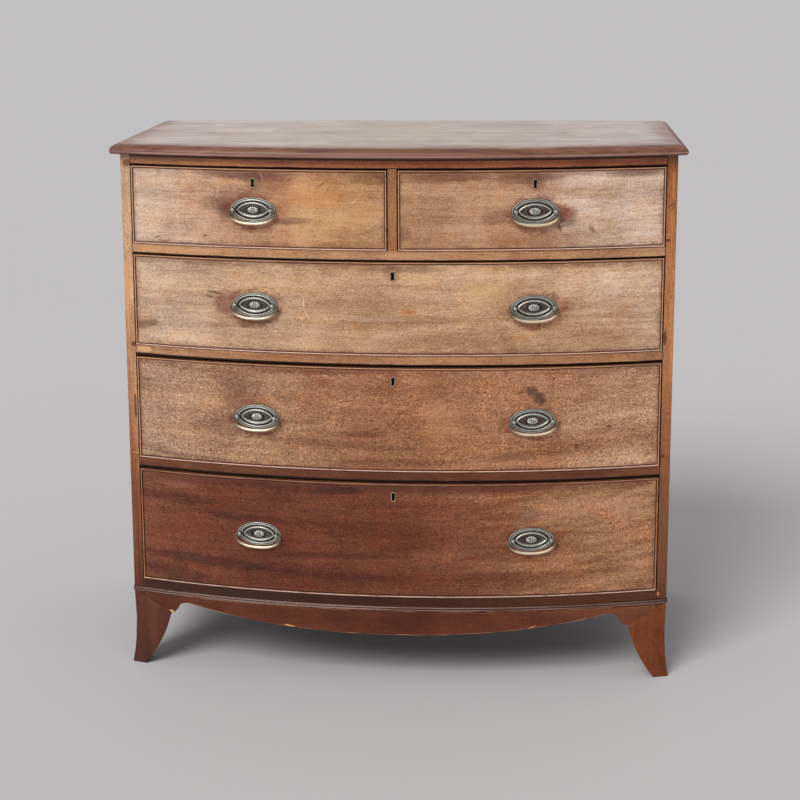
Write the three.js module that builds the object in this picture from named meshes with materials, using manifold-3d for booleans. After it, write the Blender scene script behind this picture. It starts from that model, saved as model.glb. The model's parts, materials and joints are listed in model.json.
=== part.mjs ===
// Bow front chest of drawers: two short over three long graduated drawers on French bracket feet.
// Millimetres, +Z up, the front towards -Y, the origin on the floor under the middle of the whole chest.
import * as THREE from "three";
import { mergeVertices } from "three/addons/utils/BufferGeometryUtils.js";
import Module from "manifold-3d";

const wasm = await Module();
wasm.setup();

// Carcase, measured over the sides and from the end corners of the front
const caseWidth = 1030;
const caseDepth = 462;
const bowRise = 80;
const sideThickness = 20;
const backThickness = 10;
const backRebate = 10;
const backBoardWidth = 200;
const backJointDepth = 2;

// Heights from the floor up
const baseHeight = 146.5;
const beadHeight = 9;
const bottomThickness = 18;
const dividerThickness = 18;
const topRailThickness = 19;
const lowerLongOpening = 227;
const middleLongOpening = 203;
const upperLongOpening = 177;
const shortOpening = 149.5;

// Boards inside the carcase
const railDepth = 45;
const dustThickness = 10;
const housingDepth = 5;
const housingStop = 15;
const partitionThickness = 18;

// Top board and its thumbnail moulding
const topThickness = 19;
const topSideOverhang = 17;
const topFrontOverhang = 20;
const topBackOverhang = 5;
const ovoloWidth = 15.5;
const filletDrop = 1;
const noseRadius = 5;

// Reeded bead round the base
const beadProud = 1.8;
const beadLip = 0.4;
const beadLet = 4;

// Shaped apron and the arches of the sides
const apronThickness = 20;
const apronDrop = 48.5;
const archDrop = 14;
const lobeReach = 41;
const archBendShare = 0.6;

// Bracket feet
const bracketReach = 74;
const bracketDrop = 38;
const bracketBendShare = 0.8;
const bracketRiseShare = 0.42;
const toeWidth = 22;
const toeSplay = 6.5;
const footThickness = 20;
const cornerBlockWidth = 26;
const cornerBlockLow = 60;

// Drawers
const drawerSideGap = 1.2;
const drawerLowGap = 0.6;
const shortHighGap = 2.5;
const longHighGap = 4.5;
const drawerFrontThickness = 22;
const drawerSideThickness = 12;
const drawerBackThickness = 12;
const drawerSideDrop = 6;
const drawerBackDrop = 10;
const drawerBottomThickness = 7;
const drawerBottomLift = 8;
const bottomGroove = 5;
const closingGap = 0.5;
const cockbeadWidth = 3;
const cockbeadProud = 2.2;

// Lap dovetails of the drawer sides
const dovetailLap = 5;
const dovetailPitch = 48;
const dovetailWidth = 28;
const dovetailFlare = 3;

// Locks
const lockWidth = 56;
const lockHeight = 42;
const lockDepth = 11.5;
const selvageWidth = 62;
const selvageDepth = 14;
const selvageThickness = 2;
const keyDrop = 21.5;
const keyHeadRadius = 4.2;
const keySlotWidth = 6.4;
const keySlotDrop = 12;
const drillPinRadius = 1.4;
const keyWellRadius = 5.5;
const keyWellDepth = 6;
const boltWidth = 22;
const boltThickness = 5;
const boltLength = 14;
const mortiseDepth = 10;
const mortiseSlack = 1;

// Handles, and their heights above the floor of each drawer's opening
const handleReachShare = 0.5192;
const shortHandleHeight = 71.5;
const upperHandleHeight = 89.5;
const middleHandleHeight = 97.5;
const lowerHandleHeight = 113.5;
const plateLength = 87;
const plateHeight = 47;
const plateRelief = 3;
const postSpacing = 72;
const postRadius = 3.9;
const postNeckRadius = 2.9;
const postHeadShare = 0.4;
const shankRadius = 2.5;
const shankTail = 4;
const bailStandOff = 9;
const bailRadius = 2.8;
const bailPinRadius = 1.7;
const bailWidth = 87;
const bailDrop = 24.5;

// Clearances, overruns of cuts, and the length of a facet on the bow
const seat = 0.3;
const overrun = 4;
const weld = 0.001;
const arcPitch = 66;

// Places worked out from the sizes above
const halfWidth = caseWidth / 2;
const innerHalf = halfWidth - sideThickness;
const backInner = caseDepth - backThickness;
const bowRadius = (halfWidth ** 2 + bowRise ** 2) / (2 * bowRise);
const bowCentre = bowRadius - bowRise;
const planSteps = Math.ceil(caseWidth / arcPitch);
const beadTop = baseHeight + beadHeight;
const lowerFloor = beadTop + bottomThickness;
const lowerCeiling = lowerFloor + lowerLongOpening;
const middleFloor = lowerCeiling + dividerThickness;
const middleCeiling = middleFloor + middleLongOpening;
const upperFloor = middleCeiling + dividerThickness;
const upperCeiling = upperFloor + upperLongOpening;
const shortFloor = upperCeiling + dividerThickness;
const shortCeiling = shortFloor + shortOpening;
const caseTop = shortCeiling + topRailThickness;
const topSurface = caseTop + topThickness;
const chestFront = -bowRise - topFrontOverhang;
const chestBack = caseDepth + topBackOverhang;
const bracketHeight = baseHeight - bracketDrop;
const archHeight = baseHeight - archDrop;
const apronCentreHeight = baseHeight - apronDrop;
const archReach = halfWidth - bracketReach - lobeReach;
const handleReach = innerHalf * handleReachShare;
const boltMiddle = drawerFrontThickness - lockDepth / 2;
const partitionHalf = partitionThickness / 2;

const mahogany = finish(0x9a5a32, 0.42, 0);
const topMahogany = finish(0x93857a, 0.38, 0);
const darkMahogany = finish(0x52261a, 0.45, 0);
const beadWood = finish(0x7a3a22, 0.4, 0);
const pine = finish(0xb48a58, 0.7, 0);
const oak = finish(0xa27c4f, 0.65, 0);
const lockBrass = finish(0xb08d4c, 0.4, 0.9);
const antiqueBrass = finish(0x8b8468, 0.45, 0.9);

function finish(color, roughness, metalness) {
  return new THREE.MeshStandardMaterial({ color, roughness, metalness });
}

// Solids from geometry, and meshes from solids

function solidOf(geometry) {
  geometry.deleteAttribute("normal");
  geometry.deleteAttribute("uv");
  const welded = mergeVertices(geometry, weld);
  const triVerts = [];
  for (let i = 0; i < welded.index.count; i += 3) {
    const [a, b, c] = [0, 1, 2].map((corner) => welded.index.getX(i + corner));
    if (a !== b && b !== c && c !== a) triVerts.push(a, b, c);
  }
  const vertProperties = welded.attributes.position.array;
  const mesh = new wasm.Mesh({ numProp: 3, vertProperties, triVerts: Uint32Array.from(triVerts) });
  return new wasm.Manifold(mesh);
}

function meshOf(name, solid, material) {
  const { vertProperties, triVerts, numProp, numVert } = solid.getMesh();
  const corners = new Float32Array(numVert * 3);
  for (let i = 0; i < numVert; i++) {
    corners.set(vertProperties.subarray(i * numProp, i * numProp + 3), i * 3);
  }
  const geometry = new THREE.BufferGeometry();
  geometry.setAttribute("position", new THREE.BufferAttribute(corners, 3));
  geometry.setIndex(new THREE.BufferAttribute(triVerts, 1));
  const faceted = geometry.toNonIndexed();
  faceted.computeVertexNormals();
  const mesh = new THREE.Mesh(faceted, material);
  mesh.name = name;
  return mesh;
}

// The basic forms: a block, and outlines pulled upwards, backwards or across

function blockGeometry(x0, x1, y0, y1, z0, z1) {
  const box = new THREE.BoxGeometry(x1 - x0, y1 - y0, z1 - z0);
  return box.translate((x0 + x1) / 2, (y0 + y1) / 2, (z0 + z1) / 2);
}

function block(x0, x1, y0, y1, z0, z1) {
  return solidOf(blockGeometry(x0, x1, y0, y1, z0, z1));
}

function pulled(points, length) {
  const shape = new THREE.Shape(points.map(([across, along]) => new THREE.Vector2(across, along)));
  return new THREE.ExtrudeGeometry(shape, { depth: length, bevelEnabled: false });
}

// An outline in plan, from low to high.
function upright(points, low, high) {
  return solidOf(pulled(points, high - low).translate(0, 0, low));
}

// An outline seen from the front, from the near y to the far y.
function frontGeometry(points, near, far) {
  return pulled(points, far - near).rotateX(Math.PI / 2).translate(0, far, 0);
}

function fromFront(points, near, far) {
  return solidOf(frontGeometry(points, near, far));
}

// An outline of y and z seen from the side, from the left x to the right x.
function fromSide(points, left, right) {
  const yAxis = new THREE.Vector3(0, 1, 0);
  const zAxis = new THREE.Vector3(0, 0, 1);
  const turn = new THREE.Matrix4().makeBasis(yAxis, zAxis, new THREE.Vector3(1, 0, 0));
  return solidOf(pulled(points, right - left).applyMatrix4(turn).translate(left, 0, 0));
}

// Triangles that close a flat outline, the same way round as the outline.
function capOf(outline) {
  const contour = outline.map(([across, along]) => new THREE.Vector2(across, along));
  const turn = Math.sign(THREE.ShapeUtils.area(contour));
  return THREE.ShapeUtils.triangulateShape(contour, []).map(([a, b, c]) => {
    const area = THREE.ShapeUtils.area([contour[a], contour[b], contour[c]]);
    return Math.sign(area) === turn ? [a, b, c] : [a, c, b];
  });
}

// Rings of [x, y, z] corners, anticlockwise seen from the last ring, joined and closed at both ends.
function lofted(rings, cap) {
  const count = rings[0].length;
  const last = (rings.length - 1) * count;
  const faces = [];
  for (let level = 0; level + 1 < rings.length; level++) {
    for (let i = 0; i < count; i++) {
      const a = level * count + i;
      const b = level * count + ((i + 1) % count);
      faces.push(a, b, b + count, a, b + count, a + count);
    }
  }
  for (const [a, b, c] of cap) faces.push(c, b, a, last + a, last + b, last + c);
  const geometry = new THREE.BufferGeometry();
  geometry.setAttribute("position", new THREE.Float32BufferAttribute(rings.flat(2), 3));
  geometry.setIndex(faces);
  return geometry;
}

// The bow: arcs about one centre, at an offset outwards from the carcase's face

function bowY(x, offset) {
  return bowCentre - Math.sqrt((bowRadius + offset) ** 2 - x ** 2);
}

function bowAngle(x) {
  return Math.asin(x / bowRadius);
}

function bowLine(x0, x1, offset, steps = Math.max(1, Math.round(Math.abs(x1 - x0) / arcPitch))) {
  const line = [];
  for (let i = 0; i <= steps; i++) {
    const x = x0 + ((x1 - x0) * i) / steps;
    line.push([x, bowY(x, offset)]);
  }
  return line;
}

// A board that follows the bow, between two offsets from the carcase's face.
function bowBoard(x0, x1, outer, inner, low, high) {
  return upright([...bowLine(x0, x1, outer), ...bowLine(x1, x0, inner)], low, high);
}

// A board with its front edge on the bow and a straight back edge.
function bowShelf(x0, x1, back, low, high) {
  return upright([...bowLine(x0, x1, 0), [x1, back], [x0, back]], low, high);
}

// Moves geometry made for a flat face to x on the bow, square to it.
function ontoBow(geometry, x, z) {
  return geometry.rotateZ(bowAngle(x)).translate(x, bowY(x, 0), z);
}

// The chest in plan at an offset: left back, left corner, the bow, right corner, right back.
function planLine(side, front, back) {
  const reach = halfWidth + side;
  return [[-reach, back], ...bowLine(-reach, reach, front, planSteps), [reach, back]];
}

// Top board: each level of the moulding is an inset from the widest outline, and a height

function mouldingLevels() {
  const levels = [];
  const noseSteps = 3;
  const ovoloSteps = 5;
  const noseHeight = caseTop + noseRadius;
  const ovoloHeight = topSurface - filletDrop - noseHeight;
  for (let i = 0; i < noseSteps; i++) {
    const turn = (Math.PI / 2) * (1 - i / noseSteps);
    levels.push([noseRadius * (1 - Math.cos(turn)), noseHeight - noseRadius * Math.sin(turn)]);
  }
  for (let i = 0; i <= ovoloSteps; i++) {
    const turn = (Math.PI / 2) * (1 - i / ovoloSteps);
    levels.push([ovoloWidth * (1 - Math.sin(turn)), noseHeight + ovoloHeight * Math.cos(turn)]);
  }
  levels.push([ovoloWidth, topSurface]);
  return levels;
}

function topBoard() {
  const lineAt = (inset) => planLine(topSideOverhang - inset, topFrontOverhang - inset, chestBack);
  const rings = mouldingLevels().map(([inset, z]) => lineAt(inset).map(([x, y]) => [x, y, z]));
  return solidOf(lofted(rings, capOf(lineAt(0))));
}

// Reeded bead: two reeds in section, swept round the front and both sides

function beadSection() {
  const reedHeight = beadHeight / 2;
  const reedSteps = 3;
  const section = [
    [-beadLet, beadTop],
    [-beadLet, baseHeight],
  ];
  for (let reed = 0; reed < 2; reed++) {
    for (let i = reed; i <= reedSteps; i++) {
      const bulge = Math.sin((Math.PI * i) / reedSteps);
      const rise = reedHeight * (reed + i / reedSteps);
      section.push([beadLip + (beadProud - beadLip) * bulge, baseHeight + rise]);
    }
  }
  return section.reverse();
}

function reededBead() {
  const section = beadSection();
  const lineAt = ([offset, z]) => planLine(offset, offset, caseDepth).map(([x, y]) => [x, y, z]);
  const lines = section.map(lineAt);
  const rings = lines[0].map((corner, station) => lines.map((line) => line[station]));
  return solidOf(lofted(rings, capOf(section)));
}

// The rebate that the bead lies in, round the sides and the apron.
function beadRebate() {
  const low = baseHeight - seat;
  const high = beadTop + seat;
  const back = caseDepth + overrun;
  const outside = upright(planLine(overrun, overrun, back), low, high);
  const inside = -beadLet - seat;
  return outside.subtract(upright(planLine(inside, inside, back), low - overrun, high + overrun));
}

// Bracket feet

// How high the mitre between foot and apron runs, at a distance inwards from the chest's corner.
function mitreHeight(distance) {
  return baseHeight - ((baseHeight - bracketHeight) * distance) / bracketReach;
}

// The space under both mitres of a corner. What stands above a foot clears it by the raise.
function underMitres(cornerX, cornerY, inwardX, inwardY, raise) {
  const out = bowRise + overrun;
  const outline = (corner, inward) => [
    [corner - inward * out, -overrun],
    [corner + inward * (bracketReach + raise), -overrun],
    [corner + inward * (bracketReach + raise), bracketHeight + raise],
    [corner - inward * out, mitreHeight(-out) + raise],
  ];
  const across = fromFront(outline(cornerX, inwardX), -bowRise - overrun, caseDepth + overrun);
  const along = fromSide(outline(cornerY, inwardY), -halfWidth - out, halfWidth + out);
  return across.intersect(along);
}

// What is open inside a bracket, from the curve of its inner edge on towards the middle of the chest.
function bracketOpening(corner, inward) {
  const curve = new THREE.QuadraticBezierCurve(
    new THREE.Vector2(toeWidth, 0),
    new THREE.Vector2(bracketReach * bracketBendShare, bracketHeight * bracketRiseShare),
    new THREE.Vector2(bracketReach, bracketHeight),
  );
  const top = bracketHeight + overrun;
  const far = bracketReach + overrun;
  const edge = curve.getPoints(6).map((p) => [corner + inward * p.x, p.y]);
  return [
    [corner + inward * toeWidth, -overrun],
    ...edge,
    [corner + inward * bracketReach, top],
    [corner + inward * far, top],
    [corner + inward * far, -overrun],
  ];
}

// How far a foot's face stands out at shares of its height: out at the toe, drawn in at the ankle.
const splayShares = [
  [0, 1],
  [0.07, 0.72],
  [0.15, 0.42],
  [0.3, 0.02],
  [0.62, -0.28],
  [1, 0],
];

function splayLevels() {
  return splayShares.map(([heightShare, outShare]) => [heightShare * baseHeight, outShare * toeSplay]);
}

// The left front foot: two legs that meet at the corner, with a block glued behind them.
function frontFoot() {
  const legEnd = bracketReach - halfWidth;
  const legSteps = 2;
  const planAt = (out) => [
    [-halfWidth - out, bracketReach],
    ...bowLine(-halfWidth - out, legEnd, out, legSteps),
    ...bowLine(legEnd, -innerHalf, -footThickness, legSteps),
    [-innerHalf, bracketReach],
  ];
  const rings = splayLevels().map(([z, out]) => planAt(out).map(([x, y]) => [x, y, z]));
  const outside = -halfWidth - toeSplay - overrun;
  const frontOpening = fromFront(bracketOpening(-halfWidth, 1), -bowRise - overrun, footThickness);
  const sideOpening = fromSide(bracketOpening(0, 1), outside, -innerHalf + seat);
  const legs = solidOf(lofted(rings, capOf(planAt(0))))
    .subtract(frontOpening)
    .subtract(sideOpening)
    .intersect(underMitres(-halfWidth, 0, 1, 1, 0));
  const near = bowY(innerHalf, -footThickness) + seat;
  return legs.add(cornerBlock(near, near + cornerBlockWidth, near - footThickness / 2));
}

// The block behind a foot laps into its legs low down, and stands clear between the boards above.
function cornerBlock(near, far, lapEnd) {
  const right = -innerHalf + cornerBlockWidth;
  const lap = footThickness / 2;
  const low = block(
    -innerHalf - lap,
    right,
    Math.min(near, lapEnd),
    Math.max(far, lapEnd),
    cornerBlockLow,
    bracketHeight,
  );
  return low.add(block(-innerHalf, right, near, far, cornerBlockLow, beadTop));
}

// The left rear foot: a side leg like the front one, and a plain bracket across the back.
function rearFoot() {
  const legEnd = bracketReach - halfWidth;
  const sideEnd = caseDepth - bracketReach;
  const backFace = caseDepth - footThickness;
  const planAt = (out) => [
    [-halfWidth - out, sideEnd],
    [-innerHalf, sideEnd],
    [-innerHalf, backFace],
    [legEnd, backFace],
    [legEnd, caseDepth],
    [-halfWidth - out, caseDepth],
  ];
  const rings = splayLevels().map(([z, out]) => planAt(out).map(([x, y]) => [x, y, z]));
  const outside = -halfWidth - toeSplay - overrun;
  const backOpening = fromFront(bracketOpening(-halfWidth, 1), backFace - seat, caseDepth + overrun);
  const sideOpening = fromSide(bracketOpening(caseDepth, -1), outside, -innerHalf + seat);
  const legs = solidOf(lofted(rings, capOf(planAt(0))))
    .subtract(backOpening)
    .subtract(sideOpening)
    .intersect(underMitres(-halfWidth, caseDepth, 1, -1, 0));
  const backLeg = block(-innerHalf, legEnd, backFace, caseDepth, bracketHeight - overrun, beadTop);
  const far = backFace;
  return legs.add(backLeg).add(cornerBlock(far - cornerBlockWidth, far, far + footThickness / 2));
}

// The lobe and cusp beside a foot, as shares of their reach inwards and of their rise to the arch.
const lobeShares = [
  [0.17, 0.04],
  [0.27, 0.19],
  [0.415, 0.5],
  [0.49, 0.77],
  [0.58, 0.9],
  [0.71, 0.97],
  [1, 1],
];

function lobeFrom(start, inward) {
  const rise = archHeight - bracketHeight;
  const run = inward * lobeReach;
  const at = ([alongShare, upShare]) => [start + run * alongShare, bracketHeight + rise * upShare];
  return [[start, bracketHeight], ...lobeShares.map(at)];
}

// What is open under a side, between its feet.
function sideArch() {
  const start = bracketReach;
  const end = caseDepth - bracketReach;
  return [[start, -overrun], ...lobeFrom(start, 1), ...lobeFrom(end, -1).reverse(), [end, -overrun]];
}

// What is open under the apron: a lobe at each foot, and an edge that sinks to the middle.
function underApron() {
  const start = halfWidth - bracketReach;
  const fall = new THREE.QuadraticBezierCurve(
    new THREE.Vector2(-archReach, archHeight),
    new THREE.Vector2(-archReach * archBendShare, apronCentreHeight),
    new THREE.Vector2(0, apronCentreHeight),
  );
  const middle = fall.getPoints(9).map((p) => [p.x, p.y]);
  const left = [...lobeFrom(-start, 1).slice(0, -1), ...middle];
  const right = left.slice(0, -1).map(([x, z]) => [-x, z]);
  const low = apronCentreHeight - 2 * overrun;
  return [
    [-innerHalf, low],
    [-innerHalf, bracketHeight],
    ...left,
    ...right.reverse(),
    [innerHalf, bracketHeight],
    [innerHalf, low],
  ];
}

function apron(rebate) {
  const low = apronCentreHeight - overrun;
  const board = bowBoard(-innerHalf, innerHalf, 0, -apronThickness, low, beadTop);
  return board
    .subtract(fromFront(underApron(), -bowRise - overrun, apronThickness + overrun))
    .subtract(underMitres(-halfWidth, 0, 1, 1, seat))
    .subtract(underMitres(halfWidth, 0, -1, 1, seat))
    .subtract(rebate);
}

// Carcase sides, with stopped housings for every board between them

function housings() {
  const out = -innerHalf - housingDepth;
  const groove = (near, far, low, high) => block(out, -innerHalf + overrun, near, far, low - seat, high);
  const dividers = [lowerCeiling, middleCeiling, upperCeiling];
  return [
    ...dividers.map((low) => groove(housingStop - seat, railDepth, low, low + dividerThickness + seat)),
    ...dividers.map((low) => {
      const high = low + dividerThickness;
      return groove(railDepth - seat, backInner + overrun, high - dustThickness, high + seat);
    }),
    groove(housingStop - seat, backInner + overrun, beadTop, lowerFloor + seat),
    groove(housingStop - seat, railDepth + seat, shortCeiling, caseTop + overrun),
  ];
}

function leftSide(rebate) {
  const outline = [...bowLine(-halfWidth, -innerHalf, 0), [-innerHalf, caseDepth], [-halfWidth, caseDepth]];
  const rebateSide = -innerHalf - backRebate;
  const backSpace = block(
    rebateSide,
    -innerHalf + overrun,
    backInner,
    caseDepth + overrun,
    beadTop - seat,
    caseTop + overrun,
  );
  const cuts = [
    underMitres(-halfWidth, 0, 1, 1, seat),
    underMitres(-halfWidth, caseDepth, 1, -1, seat),
    fromSide(sideArch(), -halfWidth - overrun, -innerHalf + overrun),
    rebate,
    backSpace,
    ...housings(),
  ];
  return cuts.reduce((side, cut) => side.subtract(cut), upright(outline, bracketHeight, caseTop));
}

// The back: upright boards with a V joint between neighbours, in the rebates of the sides.
function backBoards() {
  const reach = innerHalf + backRebate - seat;
  const count = Math.round((2 * reach) / backBoardWidth);
  let back = block(-reach, reach, backInner + seat, caseDepth, beadTop, caseTop);
  for (let i = 1; i < count; i++) {
    const x = -reach + (2 * reach * i) / count;
    const spread = backJointDepth + overrun;
    const joint = [
      [x - spread, caseDepth + overrun],
      [x, caseDepth - backJointDepth],
      [x + spread, caseDepth + overrun],
    ];
    back = back.subtract(upright(joint, beadTop - overrun, caseTop + overrun));
  }
  return back;
}

// Boards across the carcase, with tongues into the housings

function tongued(near, far, low, high) {
  const reach = innerHalf + housingDepth - seat;
  return block(-reach, reach, near, far, low, high);
}

function shelfBoard(back, low, high) {
  return bowShelf(-innerHalf, innerHalf, back, low, high).add(tongued(housingStop, back, low, high));
}

function dustboard(ceiling) {
  const top = ceiling + dividerThickness;
  return tongued(railDepth, backInner, top - dustThickness, top);
}

function partition() {
  const board = bowShelf(-partitionHalf, partitionHalf, backInner, shortFloor, shortCeiling);
  const notch = railDepth + seat;
  return board.add(block(-partitionHalf, partitionHalf, notch, backInner, shortCeiling - overrun, caseTop));
}

// Locks, on a flat face: x across, y inwards from the drawer's face, z from the drawer's top edge

function keyhole(near, far) {
  const slot = keySlotWidth / 2;
  const join = Math.asin(slot / keyHeadRadius);
  const headSteps = 8;
  const outline = [
    [-slot, -keySlotDrop],
    [slot, -keySlotDrop],
  ];
  for (let i = 0; i <= headSteps; i++) {
    const turn = -Math.PI / 2 + join + ((2 * Math.PI - 2 * join) * i) / headSteps;
    outline.push([keyHeadRadius * Math.cos(turn), keyHeadRadius * Math.sin(turn)]);
  }
  return frontGeometry(outline, near, far).translate(0, 0, -keyDrop);
}

function lockBody(grow) {
  const half = lockWidth / 2 + grow;
  const near = drawerFrontThickness - lockDepth - grow;
  const far = drawerFrontThickness + (grow ? overrun : 0);
  return blockGeometry(-half, half, near, far, -lockHeight - grow, -selvageThickness / 2);
}

function lockSelvage(grow) {
  const half = selvageWidth / 2 + grow;
  const near = drawerFrontThickness - selvageDepth - grow;
  const far = drawerFrontThickness + (grow ? overrun : 0);
  return blockGeometry(-half, half, near, far, -selvageThickness - grow, grow ? overrun : 0);
}

function boltSpace(grow, low, high) {
  const half = boltWidth / 2 + grow;
  const thick = boltThickness / 2 + grow;
  return blockGeometry(-half, half, boltMiddle - thick, boltMiddle + thick, low, high);
}

function roundBar(radius, near, far, z) {
  const sides = 8;
  const bar = new THREE.CylinderGeometry(radius, radius, far - near, sides);
  return solidOf(bar.translate(0, (near + far) / 2, z));
}

function lockCase() {
  const front = drawerFrontThickness - lockDepth;
  const pinEnd = front + keyWellDepth + drillPinRadius;
  return solidOf(lockBody(0))
    .add(solidOf(lockSelvage(0)))
    .subtract(solidOf(boltSpace(seat, -boltLength - seat, overrun)))
    .subtract(roundBar(keyWellRadius, front - overrun, front + keyWellDepth, -keyDrop))
    .add(roundBar(drillPinRadius, front, pinEnd, -keyDrop));
}

function lockBolt() {
  return solidOf(boltSpace(0, -boltLength, -seat));
}

// The mortise in the rail above a lock, for the shot bolt.
function mortise(drawer) {
  return solidOf(ontoBow(boltSpace(mortiseSlack, -overrun, mortiseDepth), drawer.lockX, drawer.ceiling));
}

// Drawers: the sizes of each in its opening, and where its handles and its lock sit

const longSpan = [-innerHalf, innerHalf];
const shortSpace = [shortFloor, shortCeiling, shortHighGap, shortHandleHeight];
const allDrawers = [
  drawerIn("short_left", [-innerHalf, -partitionHalf], shortSpace),
  drawerIn("short_right", [partitionHalf, innerHalf], shortSpace),
  drawerIn("upper_long", longSpan, [upperFloor, upperCeiling, shortHighGap, upperHandleHeight]),
  drawerIn("middle_long", longSpan, [middleFloor, middleCeiling, longHighGap, middleHandleHeight]),
  drawerIn("lower_long", longSpan, [lowerFloor, lowerCeiling, longHighGap, lowerHandleHeight]),
];

function drawerIn(name, [openLeft, openRight], [floor, ceiling, highGap, handleHeight]) {
  const hand = Math.sign(openLeft + openRight);
  return {
    name,
    floor,
    ceiling,
    left: openLeft + drawerSideGap,
    right: openRight - drawerSideGap,
    low: floor + drawerLowGap,
    high: ceiling - highGap,
    back: backInner - closingGap,
    handleXs: hand ? [hand * handleReach] : [-handleReach, handleReach],
    handleZ: floor + handleHeight,
    lockX: hand * handleReach,
  };
}

// A side's outer face and inner face: hand is -1 for the left side and 1 for the right one.
function sideFaces(drawer, hand) {
  const outer = hand < 0 ? drawer.left : drawer.right;
  return [outer, outer - hand * drawerSideThickness];
}

// Where the inside of the front is cut flat for a side.
function shoulderY(drawer, hand) {
  const depths = sideFaces(drawer, hand).map((x) => bowY(x, -drawerFrontThickness));
  return Math.max(...depths) + seat;
}

// The dovetails of a side, or their sockets when grown.
function dovetails(drawer, hand, grow) {
  const [outer, inner] = sideFaces(drawer, hand);
  const ends = [outer + (grow ? hand * overrun : 0), inner - hand * grow];
  const sideTop = drawer.high - drawerSideDrop;
  const count = Math.round((sideTop - drawer.low) / dovetailPitch);
  const pitch = (sideTop - drawer.low) / count;
  const tip = Math.max(bowY(outer, 0), bowY(inner, 0)) + dovetailLap - grow;
  const root = shoulderY(drawer, hand) + overrun;
  const half = dovetailWidth / 2 + grow;
  const narrow = half - dovetailFlare;
  return Array.from({ length: count }, (unused, i) => {
    const z = drawer.low + pitch * (i + 1 / 2);
    const outline = [
      [tip, z - half],
      [root, z - narrow],
      [root, z + narrow],
      [tip, z + half],
    ];
    return fromSide(outline, Math.min(...ends), Math.max(...ends));
  });
}

// The bottom of a drawer, or its groove when grown.
function bottomSpace(drawer, grow) {
  const inset = drawerSideThickness - bottomGroove - grow;
  const left = drawer.left + inset;
  const right = drawer.right - inset;
  const low = drawer.low + drawerBottomLift;
  const front = bowLine(left, right, bottomGroove - drawerFrontThickness + grow);
  const back = drawer.back + (grow ? overrun : 0);
  return upright([...front, [right, back], [left, back]], low - grow, low + drawerBottomThickness + grow);
}

function drawerFront(drawer) {
  const { left, right, low, high, lockX } = drawer;
  const leftIn = left + drawerSideThickness + seat;
  const rightIn = right - drawerSideThickness - seat;
  const outline = [
    ...bowLine(left, right, 0),
    [right, shoulderY(drawer, 1)],
    [rightIn, shoulderY(drawer, 1)],
    ...bowLine(rightIn, leftIn, -drawerFrontThickness),
    [leftIn, shoulderY(drawer, -1)],
    [left, shoulderY(drawer, -1)],
  ];
  const cuts = [
    ...dovetails(drawer, -1, seat),
    ...dovetails(drawer, 1, seat),
    bottomSpace(drawer, seat),
    solidOf(ontoBow(lockBody(seat), lockX, high)),
    solidOf(ontoBow(lockSelvage(seat), lockX, high)),
    solidOf(ontoBow(keyhole(-overrun, drawerFrontThickness - lockDepth), lockX, high)),
    ...drawer.handleXs.flatMap((x) => shankHoles(x, drawer.handleZ)),
  ];
  const board = upright(outline, low, high).add(cockbead(drawer));
  return cuts.reduce((front, cut) => front.subtract(cut), board);
}

// The bead that stands proud round a drawer's front.
function cockbead({ left, right, low, high }) {
  const w = cockbeadWidth;
  const frame = bowBoard(left, right, cockbeadProud, -w, low, high);
  const deep = -drawerFrontThickness / 2;
  return frame.subtract(bowBoard(left + w, right - w, cockbeadProud + overrun, deep, low + w, high - w));
}

// The two sides and the back of a drawer.
function drawerBox(drawer) {
  const { left, right, back } = drawer;
  const low = drawer.floor + seat;
  const sideTop = drawer.high - drawerSideDrop;
  const backLow = drawer.low + drawerBottomLift + drawerBottomThickness / 2;
  const board = (hand) => {
    const faces = sideFaces(drawer, hand);
    const near = shoulderY(drawer, hand) + seat;
    return block(Math.min(...faces), Math.max(...faces), near, back, low, sideTop);
  };
  const parts = [
    board(1),
    block(left, right, back - drawerBackThickness, back, backLow, sideTop - drawerBackDrop),
    ...dovetails(drawer, -1, 0),
    ...dovetails(drawer, 1, 0),
  ];
  const box = parts.reduce((joined, part) => joined.add(part), board(-1));
  return box.subtract(bottomSpace(drawer, seat));
}

// Handles, on a flat face: x across, y inwards, z up from the middle of the plate

// Rings of the plate, as shares: length, height, how pointed the ring is, and relief.
const plateRingShares = [
  [1, 1, 0, 0],
  [0.96, 0.95, 0, 0.75],
  [0.84, 0.8, 0, 0.4],
  [0.69, 0.5, 1, 0.85],
  [0.6, 0.38, 1, 0.35],
  [0.25, 0.3, 0, 0.35],
  [0.18, 0.2, 0, 1],
];

function platePlan([lengthShare, heightShare, pointShare]) {
  const points = 16;
  const halfLength = (plateLength / 2) * lengthShare;
  const halfHeight = (plateHeight / 2) * heightShare;
  return Array.from({ length: points }, (unused, i) => {
    const turn = (2 * Math.PI * i) / points;
    const round = Math.sin(turn);
    const pointed = round * Math.abs(round);
    const up = round + (pointed - round) * pointShare;
    return [halfLength * Math.cos(turn), halfHeight * up];
  });
}

function ovalPlate() {
  const ringAt = (ring) => platePlan(ring).map(([x, z]) => [x, z, plateRelief * ring[3]]);
  const plate = lofted(plateRingShares.map(ringAt), capOf(platePlan(plateRingShares[0])));
  return solidOf(plate.rotateX(Math.PI / 2).translate(0, -seat, 0));
}

// A turned post: its head outside, and its shank through the drawer's front.
function post(x) {
  const head = -bailStandOff;
  const headHalf = postRadius * postHeadShare;
  const shankStart = -plateRelief / 2;
  const shankEnd = drawerFrontThickness + shankTail;
  const sides = 8;
  const profile = [
    [0, head - postRadius],
    [postRadius, head - headHalf],
    [postRadius, head + headHalf],
    [postNeckRadius, shankStart],
    [shankRadius, shankStart],
    [shankRadius, shankEnd],
    [0, shankEnd],
  ];
  const turned = new THREE.LatheGeometry(profile.map(([r, y]) => new THREE.Vector2(r, y)), sides);
  return solidOf(turned.translate(x, 0, 0));
}

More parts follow.
